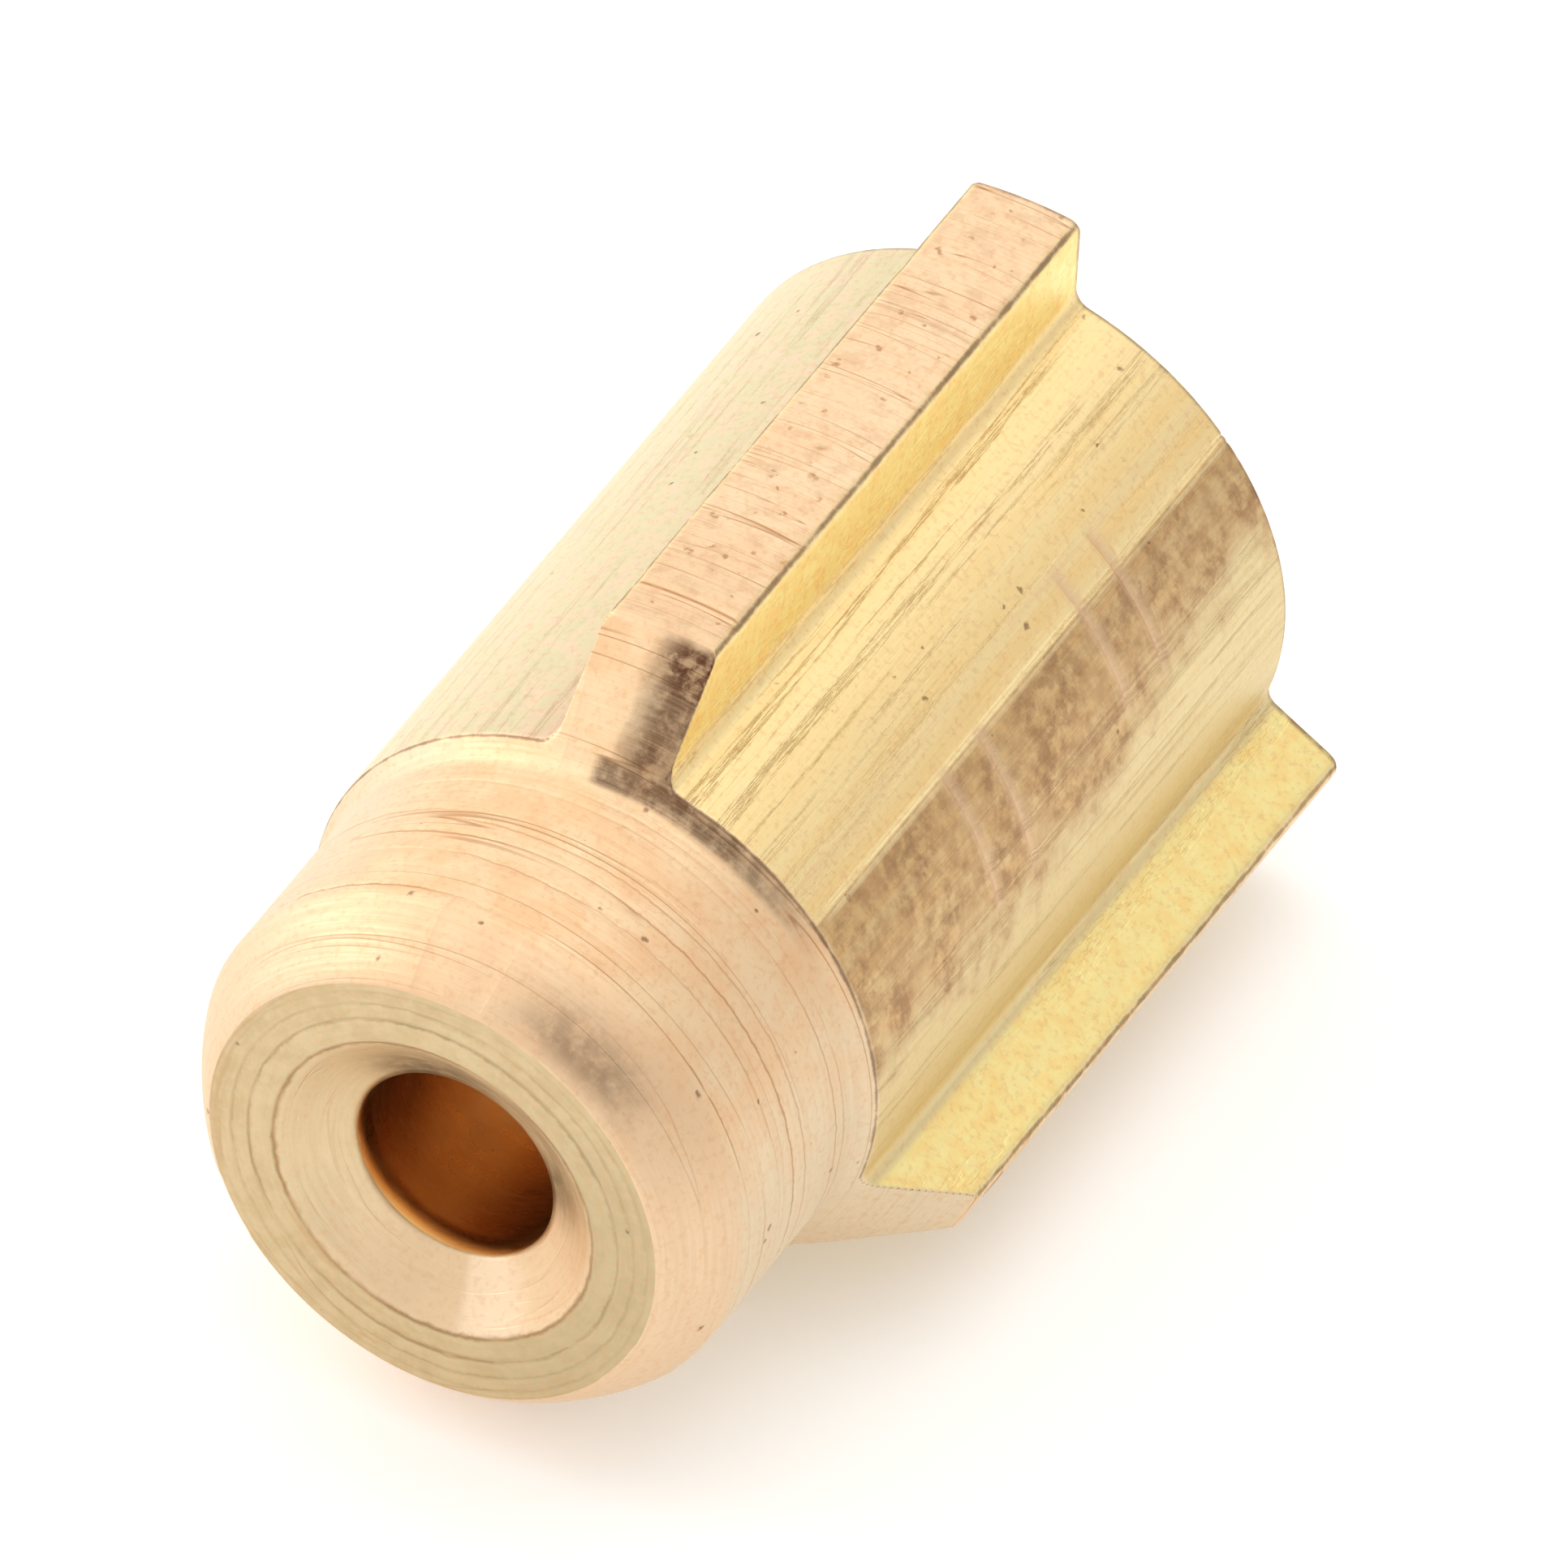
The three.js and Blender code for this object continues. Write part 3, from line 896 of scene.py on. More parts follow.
# %% Group: worn edges
edge_wear, given = new_group("edge_wear", {"Amount": 1.0})
nearness = fact(edge_wear, "edge")
breaks = noisy(place_in_mm(edge_wear), 3.4, 5.0, 0.7)
dark_line = mapped(nearness * (breaks + 0.45), 0.56, 0.96)
rubbed = mapped(nearness, 0.1, 0.6) * mapped(breaks, 0.55, 0.4)
finish_group(edge_wear, {"Dark line": dark_line * given["Amount"], "Rubbed": rubbed * given["Amount"]})

# %% [markdown]
# ## The body's outside
# The outside is one material, because its two finishes meet along the cut edge of the ribs and the mesh says
# which one each point has. The turned parts are cream to peach with thin brown rings. The drawn parts
# are golden with streaks. One side is tarnished brown below the double scratch and turns a greenish beige
# lower down, and a dark reflection is painted on the start of the upright rib and on a patch of the chamfer.

# %% Start a metal and lay its colours
def colour(red, green, blue):
    return (red, green, blue, 1.0)


def start_metal(name):
    material = bpy.data.materials.new(name)
    material.use_nodes = True
    shader = material.node_tree.nodes["Principled BSDF"]
    shader.inputs["Metallic"].default_value = 1.0
    return material, material.node_tree, shader


def mixed(share, first, second):
    """Mixes two colours by a share from 0 to 1. The colour sockets of a Mix node are its 7th and 8th."""
    return made("ShaderNodeMix", {0: share, 6: first, 7: second}, 2, data_type="RGBA")


def layered(first, *layers):
    """Lays colours over the first. Each layer is (name, where, how much, colour)."""
    for name, where, amount, over in layers:
        first = mixed(where * amount, first, over)
        first.socket.node.label = name
    return first


def window(value, low, high, low_blur, high_blur):
    """1 between low and high, falling to 0 over each blur."""
    return mapped(value, low - low_blur, low + low_blur) * mapped(value, high + high_blur, high - high_blur)


def between(share, first, second):
    """A value between two others, by a share from 0 to 1."""
    return first + (second - first) * share


def finish_metal(shader, base, roughness, height, depth_mm):
    """Joins a metal's colour and roughness, and turns a height from 0 to 1 into bumps of some depth."""
    plug(base, shader.inputs["Base Color"])
    plug(roughness, shader.inputs["Roughness"])
    bump = made("ShaderNodeBump", {"Height": height, "Distance": depth_mm * mm, "Strength": 1.0})
    plug(bump, shader.inputs["Normal"])


gold = colour(1.0, 0.73, 0.34)
pale_gold = colour(1.0, 0.80, 0.42)
rosy_brown = colour(0.74, 0.43, 0.21)
tarnish_brown = colour(0.50, 0.29, 0.14)
green_beige = colour(0.76, 0.63, 0.36)
cream = colour(0.93, 0.71, 0.46)
peach = colour(0.91, 0.62, 0.37)
ring_brown = colour(0.46, 0.21, 0.07)
grime_brown = colour(0.12, 0.055, 0.03)
# The darkest brown below colours the painted dark reflection on the upright rib and its flare.
reflection_brown = colour(0.14, 0.07, 0.035)

# %% Drawn brass, as a colour
body_outside, tree, shader = start_metal("drawn_and_turned_brass")
own = use_group(tree, nozzle_axes)
along, turn, radius = own["Along"], own["Turn"], own["Radius"]
streaks = use_group(tree, drawn_streaks, Per_mm=8.0, Stretch=0.2)
specks = use_group(tree, specks_group, Per_mm=2.9, Amount=0.16, Size=0.15)
mottle, blotch = specks["Mottle"], specks["Blotch"]
drift = (mottle - 0.5) * 34.0
wandering_turn = turn + drift
shifted_turn = wandering_turn - mapped(along, 8.0, 14.0, 0.0, 14.0)

on_flank = mapped(radius, barrel_radius + 0.08, barrel_radius + 0.25)
on_barrel = 1.0 - on_flank
fine_streaks = mapped(streaks["Fine"], 0.46, 0.74, 0.0, 0.42) * mapped(wandering_turn, 72.0, 62.0, 0.25, 1.0)
lower_side = mapped(shifted_turn, 6.0, 24.0) * mapped(turn, 99.0, 95.0)
rosy_bands = mapped(streaks["Bands"], 0.50, 0.62) * mapped(streaks["Fine"], 0.3, 0.7, 0.4, 1.0)
rosy_bands = rosy_bands * mapped(mottle, 0.36, 0.6, 0.3, 1.0) * window(turn, 44.0, 66.0, 4.0, 6.0)
tarnish = mapped(turn, 42.0, 41.4) * mapped(shifted_turn, 1.0, 18.0) * mapped(blotch, 0.3, 0.6, 0.62, 1.0)
# The flanks get a brighter gold than the barrel. This is partly their own colour and partly a painted
# highlight that offsets light bounced between rib and barrel.
flank_gold = mixed(mapped(blotch, 0.35, 0.68), colour(1.0, 0.86, 0.39), colour(1.0, 0.75, 0.30))
far_tone = mixed(mapped(blotch, 0.42, 0.64), colour(0.80, 0.73, 0.50), colour(0.90, 0.71, 0.54))
drawn = layered(
    mixed(mapped(streaks["Bands"], 0.38, 0.56), gold, pale_gold),
    ("fine streaks", fine_streaks * on_barrel, 1.0, colour(0.80, 0.53, 0.27)),
    ("pale beside the upright rib", window(wandering_turn, 52.0, 90.0, 14.0, 2.0), 0.62, pale_gold),
    ("flank gold with painted highlight", on_flank, 0.9, flank_gold),
    ("greenish low side", 1.0 - lower_side - on_flank, 0.85, green_beige),
    ("far side", mapped(turn, 96.0, 102.0) * on_barrel, 0.7, far_tone),
    ("rosy root", window(turn, 100.0, 106.0, 1.0, 6.0), 0.5, colour(0.80, 0.50, 0.38)),
    ("rosy bands", rosy_bands, 0.4, colour(0.88, 0.60, 0.36)),
    ("tarnish", tarnish, 0.8, tarnish_brown),
    ("darkest tarnish", tarnish * mapped(mottle * blotch, 0.22, 0.42), 0.5, colour(0.28, 0.14, 0.07)),
    ("die lines", streaks["Lines"] * on_barrel, 0.22, ring_brown),
    ("scratch", fact(tree, "scratch"), 0.85, colour(1.0, 0.84, 0.5)),
)

# %% Turned brass, as a colour
rings = use_group(tree, lathe_rings, Per_mm=6.0, Along_share=1.0, Slowness=1.0)
# The turned brass is painted duller everywhere but the top, as shade.
lit_side = window(wandering_turn, 22.0, 124.0, 28.0, 14.0)
turned = layered(
    mixed(mapped(mottle, 0.35, 0.65), cream, peach),
    ("lathe lines", rings["Lines"], 0.6, ring_brown),
    ("painted shade away from the top", 1.0 - lit_side, 0.85, colour(0.78, 0.66, 0.48)),
    ("chamfer", mapped(along, chamfer_length + 0.15, chamfer_length - 0.2), 0.6, colour(0.84, 0.60, 0.39)),
)
wandering_along = along + (blotch - 0.5) * 0.09
tool_line_strength = 90
for place, depth in tool_rings:
    line = window(wandering_along, place - 0.01, place + 0.01, 0.018, 0.018)
    line = line * mapped(rings["Bands"], 0.42, 0.54)
    turned = layered(turned, ("tool ring", line, tool_line_strength * depth, ring_brown))

crest_cuts = use_group(tree, lathe_rings, Per_mm=13.0, Along_share=1.0, Slowness=3.0)
crest_pits = use_group(tree, specks_group, Per_mm=4.0, Amount=0.6, Size=0.28)
on_crest = mapped(radius, rib_radius - 0.12, rib_radius - 0.02)
step_line = window(along, crest_step - 0.015, crest_step + 0.015, 0.02, 0.02)
crest_lines = calc("MAXIMUM", crest_cuts["Lines"] * on_crest, step_line * on_crest)
pitted = crest_pits["Specks"] * mapped(blotch, 0.45, 0.55) * on_crest
turned = layered(
    turned,
    ("crest", on_crest, 0.6, colour(0.96, 0.73, 0.50)),
    ("low part of the crest", window(along, 5.3, 6.9, 0.1, 1.0) * on_crest, 0.5, colour(0.82, 0.58, 0.36)),
    ("shade of the cuts", mapped(crest_cuts["Fine"], 0.5, 0.74, 0.0, 0.3) * on_crest, 1.0, rosy_brown),
    ("crest lines", crest_lines, 0.85, ring_brown),
    ("crest pits", pitted, 0.8, ring_brown),
    ("browned crest", mapped(blotch, 0.46, 0.66) * on_crest, 0.4, colour(0.70, 0.47, 0.28)),
)

# %% Painted reflections, specks, edges, marks and the finished shader
is_turned = fact(tree, "turned")
# The brown patch on the chamfer is a painted dark reflection.
chamfer_painted_reflection = window(turn + drift * 0.5, 44.0, 71.0, 8.0, 9.0) * window(along, 0.12, 0.6, 0.15, 0.3)
chamfer_painted_reflection = chamfer_painted_reflection * mapped(blotch, 0.3, 0.6, 0.45, 1.0)
# A dark band over the upright rib's flare and round the foot of the flare is a painted dark reflection, with
# darker spots painted near the crest.
reflection_turn = turn + (blotch - 0.5) * 9.0
rib_painted_reflection = window(reflection_turn, 70.0, 88.3, 1.0, 3.2) * window(along, 4.1, 5.36, 0.1, 0.07) * is_turned
band_painted_reflection = window(turn, 50.0, 92.0, 18.0, 1.5) * window(along, 3.86, 4.14, 0.07, 0.03)
painted_dark_reflection = calc("MAXIMUM", rib_painted_reflection, band_painted_reflection) * mapped(rings["Fine"], 0.3, 0.6, 0.82, 1.0)
painted_dark_reflection = painted_dark_reflection * mapped(blotch, 0.34, 0.6, 0.6, 1.0)
reflection_spots = rib_painted_reflection * window(along, 4.95, 5.3, 0.25, 0.12) * mapped(blotch, 0.4, 0.56)
spotted = calc("MAXIMUM", specks["Specks"] * on_barrel, specks["Specks"] * is_turned)
wear = use_group(tree, edge_wear, Amount=1.0)
burr = mixed(mapped(mottle, 0.4, 0.6), colour(0.30, 0.16, 0.08), colour(0.16, 0.08, 0.05))
back_rim = mapped(along, body_length - 0.11, body_length - 0.03) * mapped(blotch, 0.35, 0.6, 0.4, 1.0)
body_colour = layered(
    mixed(is_turned, drawn, turned),
    ("grain", specks["Grain"], 0.3, rosy_brown),
    ("painted reflection on the chamfer", chamfer_painted_reflection, 0.8, colour(0.38, 0.25, 0.15)),
    ("painted dark reflection", painted_dark_reflection, 0.9, reflection_brown),
    ("dark spots in the painted reflection", reflection_spots, 0.85, colour(0.11, 0.03, 0.015)),
    ("specks", spotted, 0.7, colour(0.22, 0.10, 0.05)),
    ("rubbed edges", wear["Rubbed"], 0.35, cream),
    ("dark edge lines", wear["Dark line"], 0.7, burr),
    ("back rim", back_rim, 0.7, burr),
    # The stamped marks are painted pale, a painted highlight for the light their raised lips catch.
    ("stamped marks painted pale as highlight", fact(tree, "mark"), 0.75, colour(0.86, 0.62, 0.40)),
)
drawn_roughness = mapped(streaks["Fine"], 0.3, 0.7, 0.42, 0.56)
turned_roughness = mapped(rings["Fine"], 0.3, 0.7, 0.52, 0.66)
roughness = between(is_turned, drawn_roughness, turned_roughness)
height = between(is_turned, streaks["Fine"] - streaks["Lines"], rings["Fine"] - rings["Lines"])
finish_metal(shader, body_colour, roughness, height, 0.006)
print("finish", body_outside.name)

# %% [markdown]
# ## The faces and the bores
# The spray face and the back face were cut with a facing tool, so their rings are circles about the axis.
# They are duller and greener than the nose. The countersink is smoother and warmer. The bore is polished by
# the drill. It looks deep orange because light meets its brass several times before it leaves, and the
# picture follows only a few of those meetings, so the bore's own colour is made redder than the rest.

# %% Faced brass
faced_brass, tree, shader = start_metal("faced_brass")
own = use_group(tree, nozzle_axes)
radius, turn = own["Radius"], own["Turn"]
rings = use_group(tree, lathe_rings, Per_mm=5.0, Along_share=-1.0, Slowness=0.9)
specks = use_group(tree, specks_group, Per_mm=2.9, Amount=0.12, Size=0.12)
mottle, blotch = specks["Mottle"], specks["Blotch"]
in_sink = window(radius, bore_radius, countersink_radius, 0.05, 0.03)
# The countersink is greener above and paler below. The paler lower side and the glint are painted highlights.
sink_tone_and_highlight = mixed(window(turn, -130.0, 5.0, 40.0, 25.0), colour(0.74, 0.58, 0.36), colour(0.86, 0.62, 0.40))
# Darker patches above and to the right of the bore, near its edge, are a painted dark reflection.
sink_reflection_sides = calc("MAXIMUM", window(turn, 78.0, 132.0, 22.0, 16.0), window(turn, 2.0, 30.0, 16.0, 14.0))
sink_painted_reflection = sink_reflection_sides * mapped(radius, bore_radius + 0.68, bore_radius + 0.15) * mapped(blotch, 0.3, 0.6, 0.6, 1.0)
# The face is painted darker on its right side as shade.
faced = layered(
    mixed(mapped(blotch, 0.35, 0.65), colour(0.66, 0.52, 0.31), colour(0.60, 0.46, 0.26)),
    ("painted shade on the right side", window(turn, -70.0, 40.0, 30.0, 30.0), 0.4, colour(0.50, 0.39, 0.23)),
    ("countersink", in_sink, 0.8, sink_tone_and_highlight),
    ("glint", window(turn, -78.0, -52.0, 3.0, 10.0) * in_sink, 0.6, colour(1.0, 0.80, 0.58)),
    ("sink_painted_reflection", sink_painted_reflection, 0.85, colour(0.24, 0.18, 0.11)),
    ("facing lines", rings["Lines"] * between(in_sink, 0.35, 0.1), 1.0, ring_brown),
)
wandering_radius = radius + (blotch - 0.5) * 0.12
face_line_strength = 55
for place, depth in face_rings:
    line = window(wandering_radius, place - 0.012, place + 0.012, 0.03, 0.03)
    line = line * mapped(mottle, 0.38, 0.6, 0.35, 1.0)
    faced = layered(faced, ("face ring", line, face_line_strength * depth, colour(0.30, 0.19, 0.08)))
sink_rim = window(wandering_radius, countersink_radius - 0.02, countersink_radius + 0.03, 0.03, 0.03)
faced = layered(
    faced,
    ("rim of the countersink", sink_rim * mapped(mottle, 0.35, 0.6, 0.4, 1.0), 0.7, colour(0.26, 0.16, 0.07)),
    ("specks", specks["Specks"], 0.6, grime_brown),
    ("grain", specks["Grain"], 0.3, rosy_brown),
    ("edge lines", use_group(tree, edge_wear, Amount=0.7)["Dark line"], 0.6, ring_brown),
)
faced_roughness = mapped(rings["Fine"], 0.3, 0.7, 0.38, 0.52)
finish_metal(shader, faced, faced_roughness, rings["Fine"] - rings["Lines"], 0.004)
print("finish", faced_brass.name)

# %% Bored brass
bored_brass, tree, shader = start_metal("bored_brass")
rings = use_group(tree, lathe_rings, Per_mm=3.0, Along_share=1.0, Slowness=1.1)
drill_marks = use_group(tree, lathe_rings, Per_mm=9.0, Along_share=1.0, Slowness=2.2)
turn = use_group(tree, nozzle_axes)["Turn"]
specks = use_group(tree, specks_group, Per_mm=3.0, Amount=0.12, Size=0.12)
bored = layered(
    mixed(mapped(specks["Mottle"], 0.3, 0.7), colour(0.96, 0.47, 0.13), colour(1.0, 0.53, 0.17)),
    ("shaded side", 1.0 - window(turn, -152.0, -86.0, 30.0, 28.0), 0.5, colour(0.20, 0.06, 0.03)),
    ("drill lines", mapped(drill_marks["Fine"], 0.45, 0.75, 0.0, 0.3), 1.0, colour(1.0, 0.66, 0.34)),
    ("specks", specks["Specks"], 0.5, grime_brown),
)
finish_metal(shader, bored, mapped(rings["Fine"], 0.3, 0.7, 0.26, 0.36), rings["Fine"], 0.001)
print("finish", bored_brass.name)

# %% Give the body its three finishes
for finish in (body_outside, faced_brass, bored_brass):
    body_mesh.materials.append(finish)
print("finishes on the body:", [finish.name for finish in body_mesh.materials])

# %% [markdown]
# ## The pieces inside
# Seven more pieces sit in the body. All but the gauze are turned, so each is a profile walked round the
# axis. A profile is a list of corners. Real corners are never quite sharp, so each one is rounded by a few
# hundredths of a millimetre, and the points of that rounding are marked as edge for the worn finish.

# %% Round the corners of a profile
def rounded_profile(corners, rounding, steps=3, longest=0.35):
    """A closed profile of (along, radius, edge) from corners of (along, radius), each one rounded."""
    found = []
    for number, here in enumerate(corners):
        here = Vector(here)
        before = Vector(corners[number - 1])
        after = Vector(corners[(number + 1) % len(corners)])
        cut = min(rounding, 0.4 * (here - before).length, 0.4 * (after - here).length)
        first = here + (before - here).normalized() * cut
        last = here + (after - here).normalized() * cut
        if here.y < 1e-6:
            found.append((here.x, here.y, 0.0))
        else:
            for step in range(steps + 1):
                share = step / steps
                point = first.lerp(here, share).lerp(here.lerp(last, share), share)
                found.append((point.x, point.y, math.sin(math.pi * (0.15 + 0.7 * share))))
        run = after - here
        on_axis = max(here.y, after.y) < 1e-6
        pieces = 0 if on_axis else int(run.length / longest)
        found += [(*(here + run * step / (pieces + 1)), 0.0) for step in range(1, pieces + 1)]
    return found


def open_for_repair(mesh):
    shape = bmesh.new()
    shape.from_mesh(mesh)
    return shape


def close_repaired(shape, mesh):
    """Deletes edges that no face uses and writes the repaired shape back."""
    bare_edges = [edge for edge in shape.edges if not edge.link_faces]
    bmesh.ops.delete(shape, geom=bare_edges, context="EDGES")
    shape.to_mesh(mesh)
    shape.free()


def turned_mesh(name, profile, round_columns, wave=None):
    """The closed profile walked round the axis. A wave may move each point out or in."""
    angles = np.arange(round_columns) * full_turn / round_columns
    along, radius, edge = (values[:, None] + 0 * angles for values in np.array(profile).T)
    if wave is not None:
        radius = radius + wave(along, angles[None, :], radius)
    mesh = mesh_of_rows(name, placed(along, angles[None, :], radius), np.zeros(len(profile)), {"edge": edge})
    shape = open_for_repair(mesh)
    bmesh.ops.remove_doubles(shape, verts=shape.verts, dist=1e-8)
    bmesh.ops.recalc_face_normals(shape, faces=shape.faces)
    close_repaired(shape, mesh)
    return mesh


# %% Cut a slot or a groove out of a turned mesh
shortest_edge = 0.001
broken_edge = 0.02
cut_edge_angle = math.radians(55)
sharp_angle = math.radians(38)


def cutter(low, high, turn):
    """A box between two corners given as (across, up, along), turned about the axis."""
    mesh = bpy.data.meshes.new("cutter")
    shape = bmesh.new()
    bmesh.ops.create_cube(shape, size=1.0)
    size = Vector(high) - Vector(low)
    middle = (Vector(high) + Vector(low)) / 2
    for corner in shape.verts:
        across, up, along = (middle[axis] + corner.co[axis] * size[axis] for axis in range(3))
        spun_across = across * math.cos(turn) - up * math.sin(turn)
        spun_up = across * math.sin(turn) + up * math.cos(turn)
        corner.co = Vector((spun_across, front_y + along, axis_height + spun_up)) * mm
    bmesh.ops.recalc_face_normals(shape, faces=shape.faces)
    close_repaired(shape, mesh)
    return bpy.data.objects.new("cutter", mesh)


def cut_away(mesh, cutters):
    """Subtracts the cutters, then breaks the new sharp edges, and gives back the finished mesh."""
    whole = bpy.data.objects.new("blank", mesh)
    scene_objects = bpy.context.scene.collection.objects
    scene_objects.link(whole)
    for tool in cutters:
        scene_objects.link(tool)
        cut = whole.modifiers.new("cut", "BOOLEAN")
        cut.operation = "DIFFERENCE"
        cut.solver = "EXACT"
        cut.object = tool
    bevel = whole.modifiers.new("broken_edges", "BEVEL")
    bevel.width = broken_edge * mm
    bevel.segments = 2
    bevel.limit_method = "ANGLE"
    bevel.angle_limit = cut_edge_angle
    bevel.use_clamp_overlap = True
    evaluated = whole.evaluated_get(bpy.context.evaluated_depsgraph_get())
    finished = bpy.data.meshes.new_from_object(evaluated)
    finished.materials.clear()
    for old in [whole, *cutters]:
        bpy.data.objects.remove(old)
    name = mesh.name
    bpy.data.meshes.remove(mesh)
    finished.name = name
    shape = open_for_repair(finished)
    bmesh.ops.dissolve_degenerate(shape, edges=shape.edges, dist=shortest_edge * mm)
    for face in shape.faces:
        face.smooth = True
    close_repaired(shape, finished)
    finished.set_sharp_from_angle(angle=sharp_angle)
    return finished


# %% [markdown]
# ### Spray disc
# The disc meters the oil. It has a spray hole three tenths of a millimetre wide at the front, which opens
# into a polished cone behind, and it is the only piece that is hard steel.

# %% Spray disc
slide_gap = 0.05
seat_gap = 0.02
disc_thickness = 0.8
disc_front = shoulder_depth + seat_gap
disc_back = disc_front + disc_thickness
spray_radius = 0.15
spray_length = 0.25
cone_mouth = 0.95
piece_radius = chamber_radius - slide_gap
disc_corners = [
    (disc_front, spray_radius),
    (disc_front, piece_radius),
    (disc_back, piece_radius),
    (disc_back, cone_mouth),
    (disc_front + spray_length, spray_radius),
]
disc_mesh = turned_mesh("spray_disc", rounded_profile(disc_corners, 0.025), 96)
spray_disc = show(disc_mesh, "nozzle", "orifice_disc")

# %% [markdown]
# ### Distributor
# The distributor's cone sits in the disc's cone. Oil comes forward along three grooves in its side and runs
# in through three slots that miss the axis, which sets the oil spinning before it leaves the spray hole.

# %% Distributor
swirl_gap = 0.04
cone_slope = (cone_mouth - spray_radius) / (disc_thickness - spray_length)
distributor_length = 2.4
distributor_front = disc_back + seat_gap
distributor_back = distributor_front + distributor_length
cone_radius = cone_mouth - swirl_gap
tip_radius = 0.4
tip = distributor_front - (cone_radius - tip_radius) / cone_slope
distributor_corners = [
    (tip, 0.0),
    (tip, tip_radius),
    (distributor_front, cone_radius),
    (distributor_front, piece_radius),
    (distributor_back, piece_radius),
    (distributor_back, 0.0),
]
distributor_blank = turned_mesh("distributor", rounded_profile(distributor_corners, 0.03), 96)
slot_count = 3
slot_offset = -0.42
slot_half_width = 0.15
slot_depth = 0.35
groove_half_width = 0.4
groove_floor = piece_radius - 0.45
well_clear = 1
slot_and_groove = (
    (0.0, slot_half_width, distributor_front + slot_depth),
    (groove_floor, groove_half_width, distributor_back + well_clear),
)
cutters = []
for number in range(slot_count):
    for inner, half_width, back in slot_and_groove:
        low = (inner, slot_offset - half_width, tip - well_clear)
        high = (piece_radius + well_clear, slot_offset + half_width, back)
        cutters.append(cutter(low, high, -number * full_turn / slot_count))
distributor_mesh = cut_away(distributor_blank, cutters)
distributor = show(distributor_mesh, "nozzle", "swirl_distributor")

# %% [markdown]
# ### Threaded pieces
# The hollow lock screw and the strainer's carrier are both threaded and both have a slot for a driver. The
# thread is the same spiral wave as in the inlet, cut inward this time. It fades out at both ends, as a
# thread does where the die starts and stops.

# %% Thread on a turned piece
thread_depth = 0.22
thread_fade = 0.6 * thread_pitch
driver_half_width = 0.3
driver_depth = 0.7


def threaded_between(start, stop, crest):
    """A wave that cuts a thread into every point on the crest between two distances."""

    def wave(along, angles, radius):
        inside = np.clip((along - start) / thread_fade, 0, 1) * np.clip((stop - along) / thread_fade, 0, 1)
        on_crest = (radius > crest - 0.02).astype(float)
        return -thread_depth * inside * on_crest * thread_wave(along, angles)

    return wave


def screw_mesh(name, front, back, crest, corners):
    """A hollow threaded piece with a straight driver slot across its back end."""
    profile = []
    for along, radius, edge in rounded_profile(corners, 0.04, longest=5.0):
        first, last_radius = profile[-1][:2] if profile else (along, 0.0)
        if min(last_radius, radius) > crest - 0.01 and along - first > 0.1:
            rows = round((along - first) / (thread_pitch / 9))
            profile += [(first + (along - first) * row / rows, crest, 0.0) for row in range(1, rows)]
        profile.append((along, radius, edge))
    blank = turned_mesh(name, profile, 120, threaded_between(front, back, crest))
    low = (-crest - well_clear, -driver_half_width, back - driver_depth)
    high = (crest + well_clear, driver_half_width, back + well_clear)
    return cut_away(blank, [cutter(low, high, 0.0)])


# %% Lock screw
lock_length = 2.0
lock_hole = 0.8
lock_front = distributor_back + seat_gap
lock_back = lock_front + lock_length
lock_corners = [
    (lock_front, lock_hole),
    (lock_front, piece_radius),
    (lock_back, piece_radius),
    (lock_back, lock_hole),
]
lock_mesh = screw_mesh("hollow_lock_screw", lock_front, lock_back, piece_radius, lock_corners)
lock_screw = show(lock_mesh, "nozzle", "lock_screw")

# %% [markdown]
# ### Sealing washer
# A flat copper washer lies on the step in the inlet. It has been squeezed, so its two rims are worn and no
# longer quite round.

# %% Sealing washer
seal_thickness = 0.3
squeeze = 0.012
seal_front = inlet_floor + seat_gap
seal_back = seal_front + seal_thickness
seal_outer = inlet_radius - slide_gap
seal_inner = 2.0
seal_corners = [
    (seal_front, seal_inner),
    (seal_front, seal_outer),
    (seal_back, seal_outer),
    (seal_back, seal_inner),
]


def squeezed(along, angles, radius):
    """Moves both rims in towards the washer's middle by an uneven amount."""
    side = np.where(radius > (seal_inner + seal_outer) / 2, -1.0, 1.0)
    return side * squeeze * (1 + np.sin(angles * 3) * np.cos(angles * 5)) / 2


seal_mesh = turned_mesh("copper_washer", rounded_profile(seal_corners, 0.06, 4, 0.15), 120, squeezed)
copper_washer = show(seal_mesh, "nozzle", "seal_ring")

# %% Strainer carrier
gauze_radius = 1.85
gauze_wall = 0.25
carrier_sink = 0.35
carrier_hole = 1.1
spigot_length = 0.75
carrier_front = seal_back + seat_gap
carrier_back = body_length - carrier_sink
spigot_front = carrier_front - spigot_length
spigot_radius = gauze_radius - gauze_wall - slide_gap
carrier_corners = [
    (spigot_front, carrier_hole),
    (spigot_front, spigot_radius),
    (carrier_front, spigot_radius),
    (carrier_front, seal_outer),
    (carrier_back, seal_outer),
    (carrier_back, carrier_hole),
]
carrier_mesh = screw_mesh("threaded_carrier", carrier_front, carrier_back, seal_outer, carrier_corners)
threaded_carrier = show(carrier_mesh, "carrier", "strainer_carrier")

# %% [markdown]
# ### Strainer
# The strainer is a sleeve of fine bronze wire, woven over and under, with a cap at its far end. The weave
# is real geometry: wires along the sleeve and hoops round it, each bent to pass over one and under the
# next. A solid core of cloth would hide the light that comes through it.

# %% Wire maker
wire_radius = 0.036
wire_sides = 6
gauze_middle = gauze_radius - gauze_wall / 2
flow_gap = 0.44
cap_thickness = 0.4
cap_front = lock_back + flow_gap
cap_back = cap_front + cap_thickness
gauze_front = cap_back + seat_gap
gauze_back = carrier_front - seat_gap


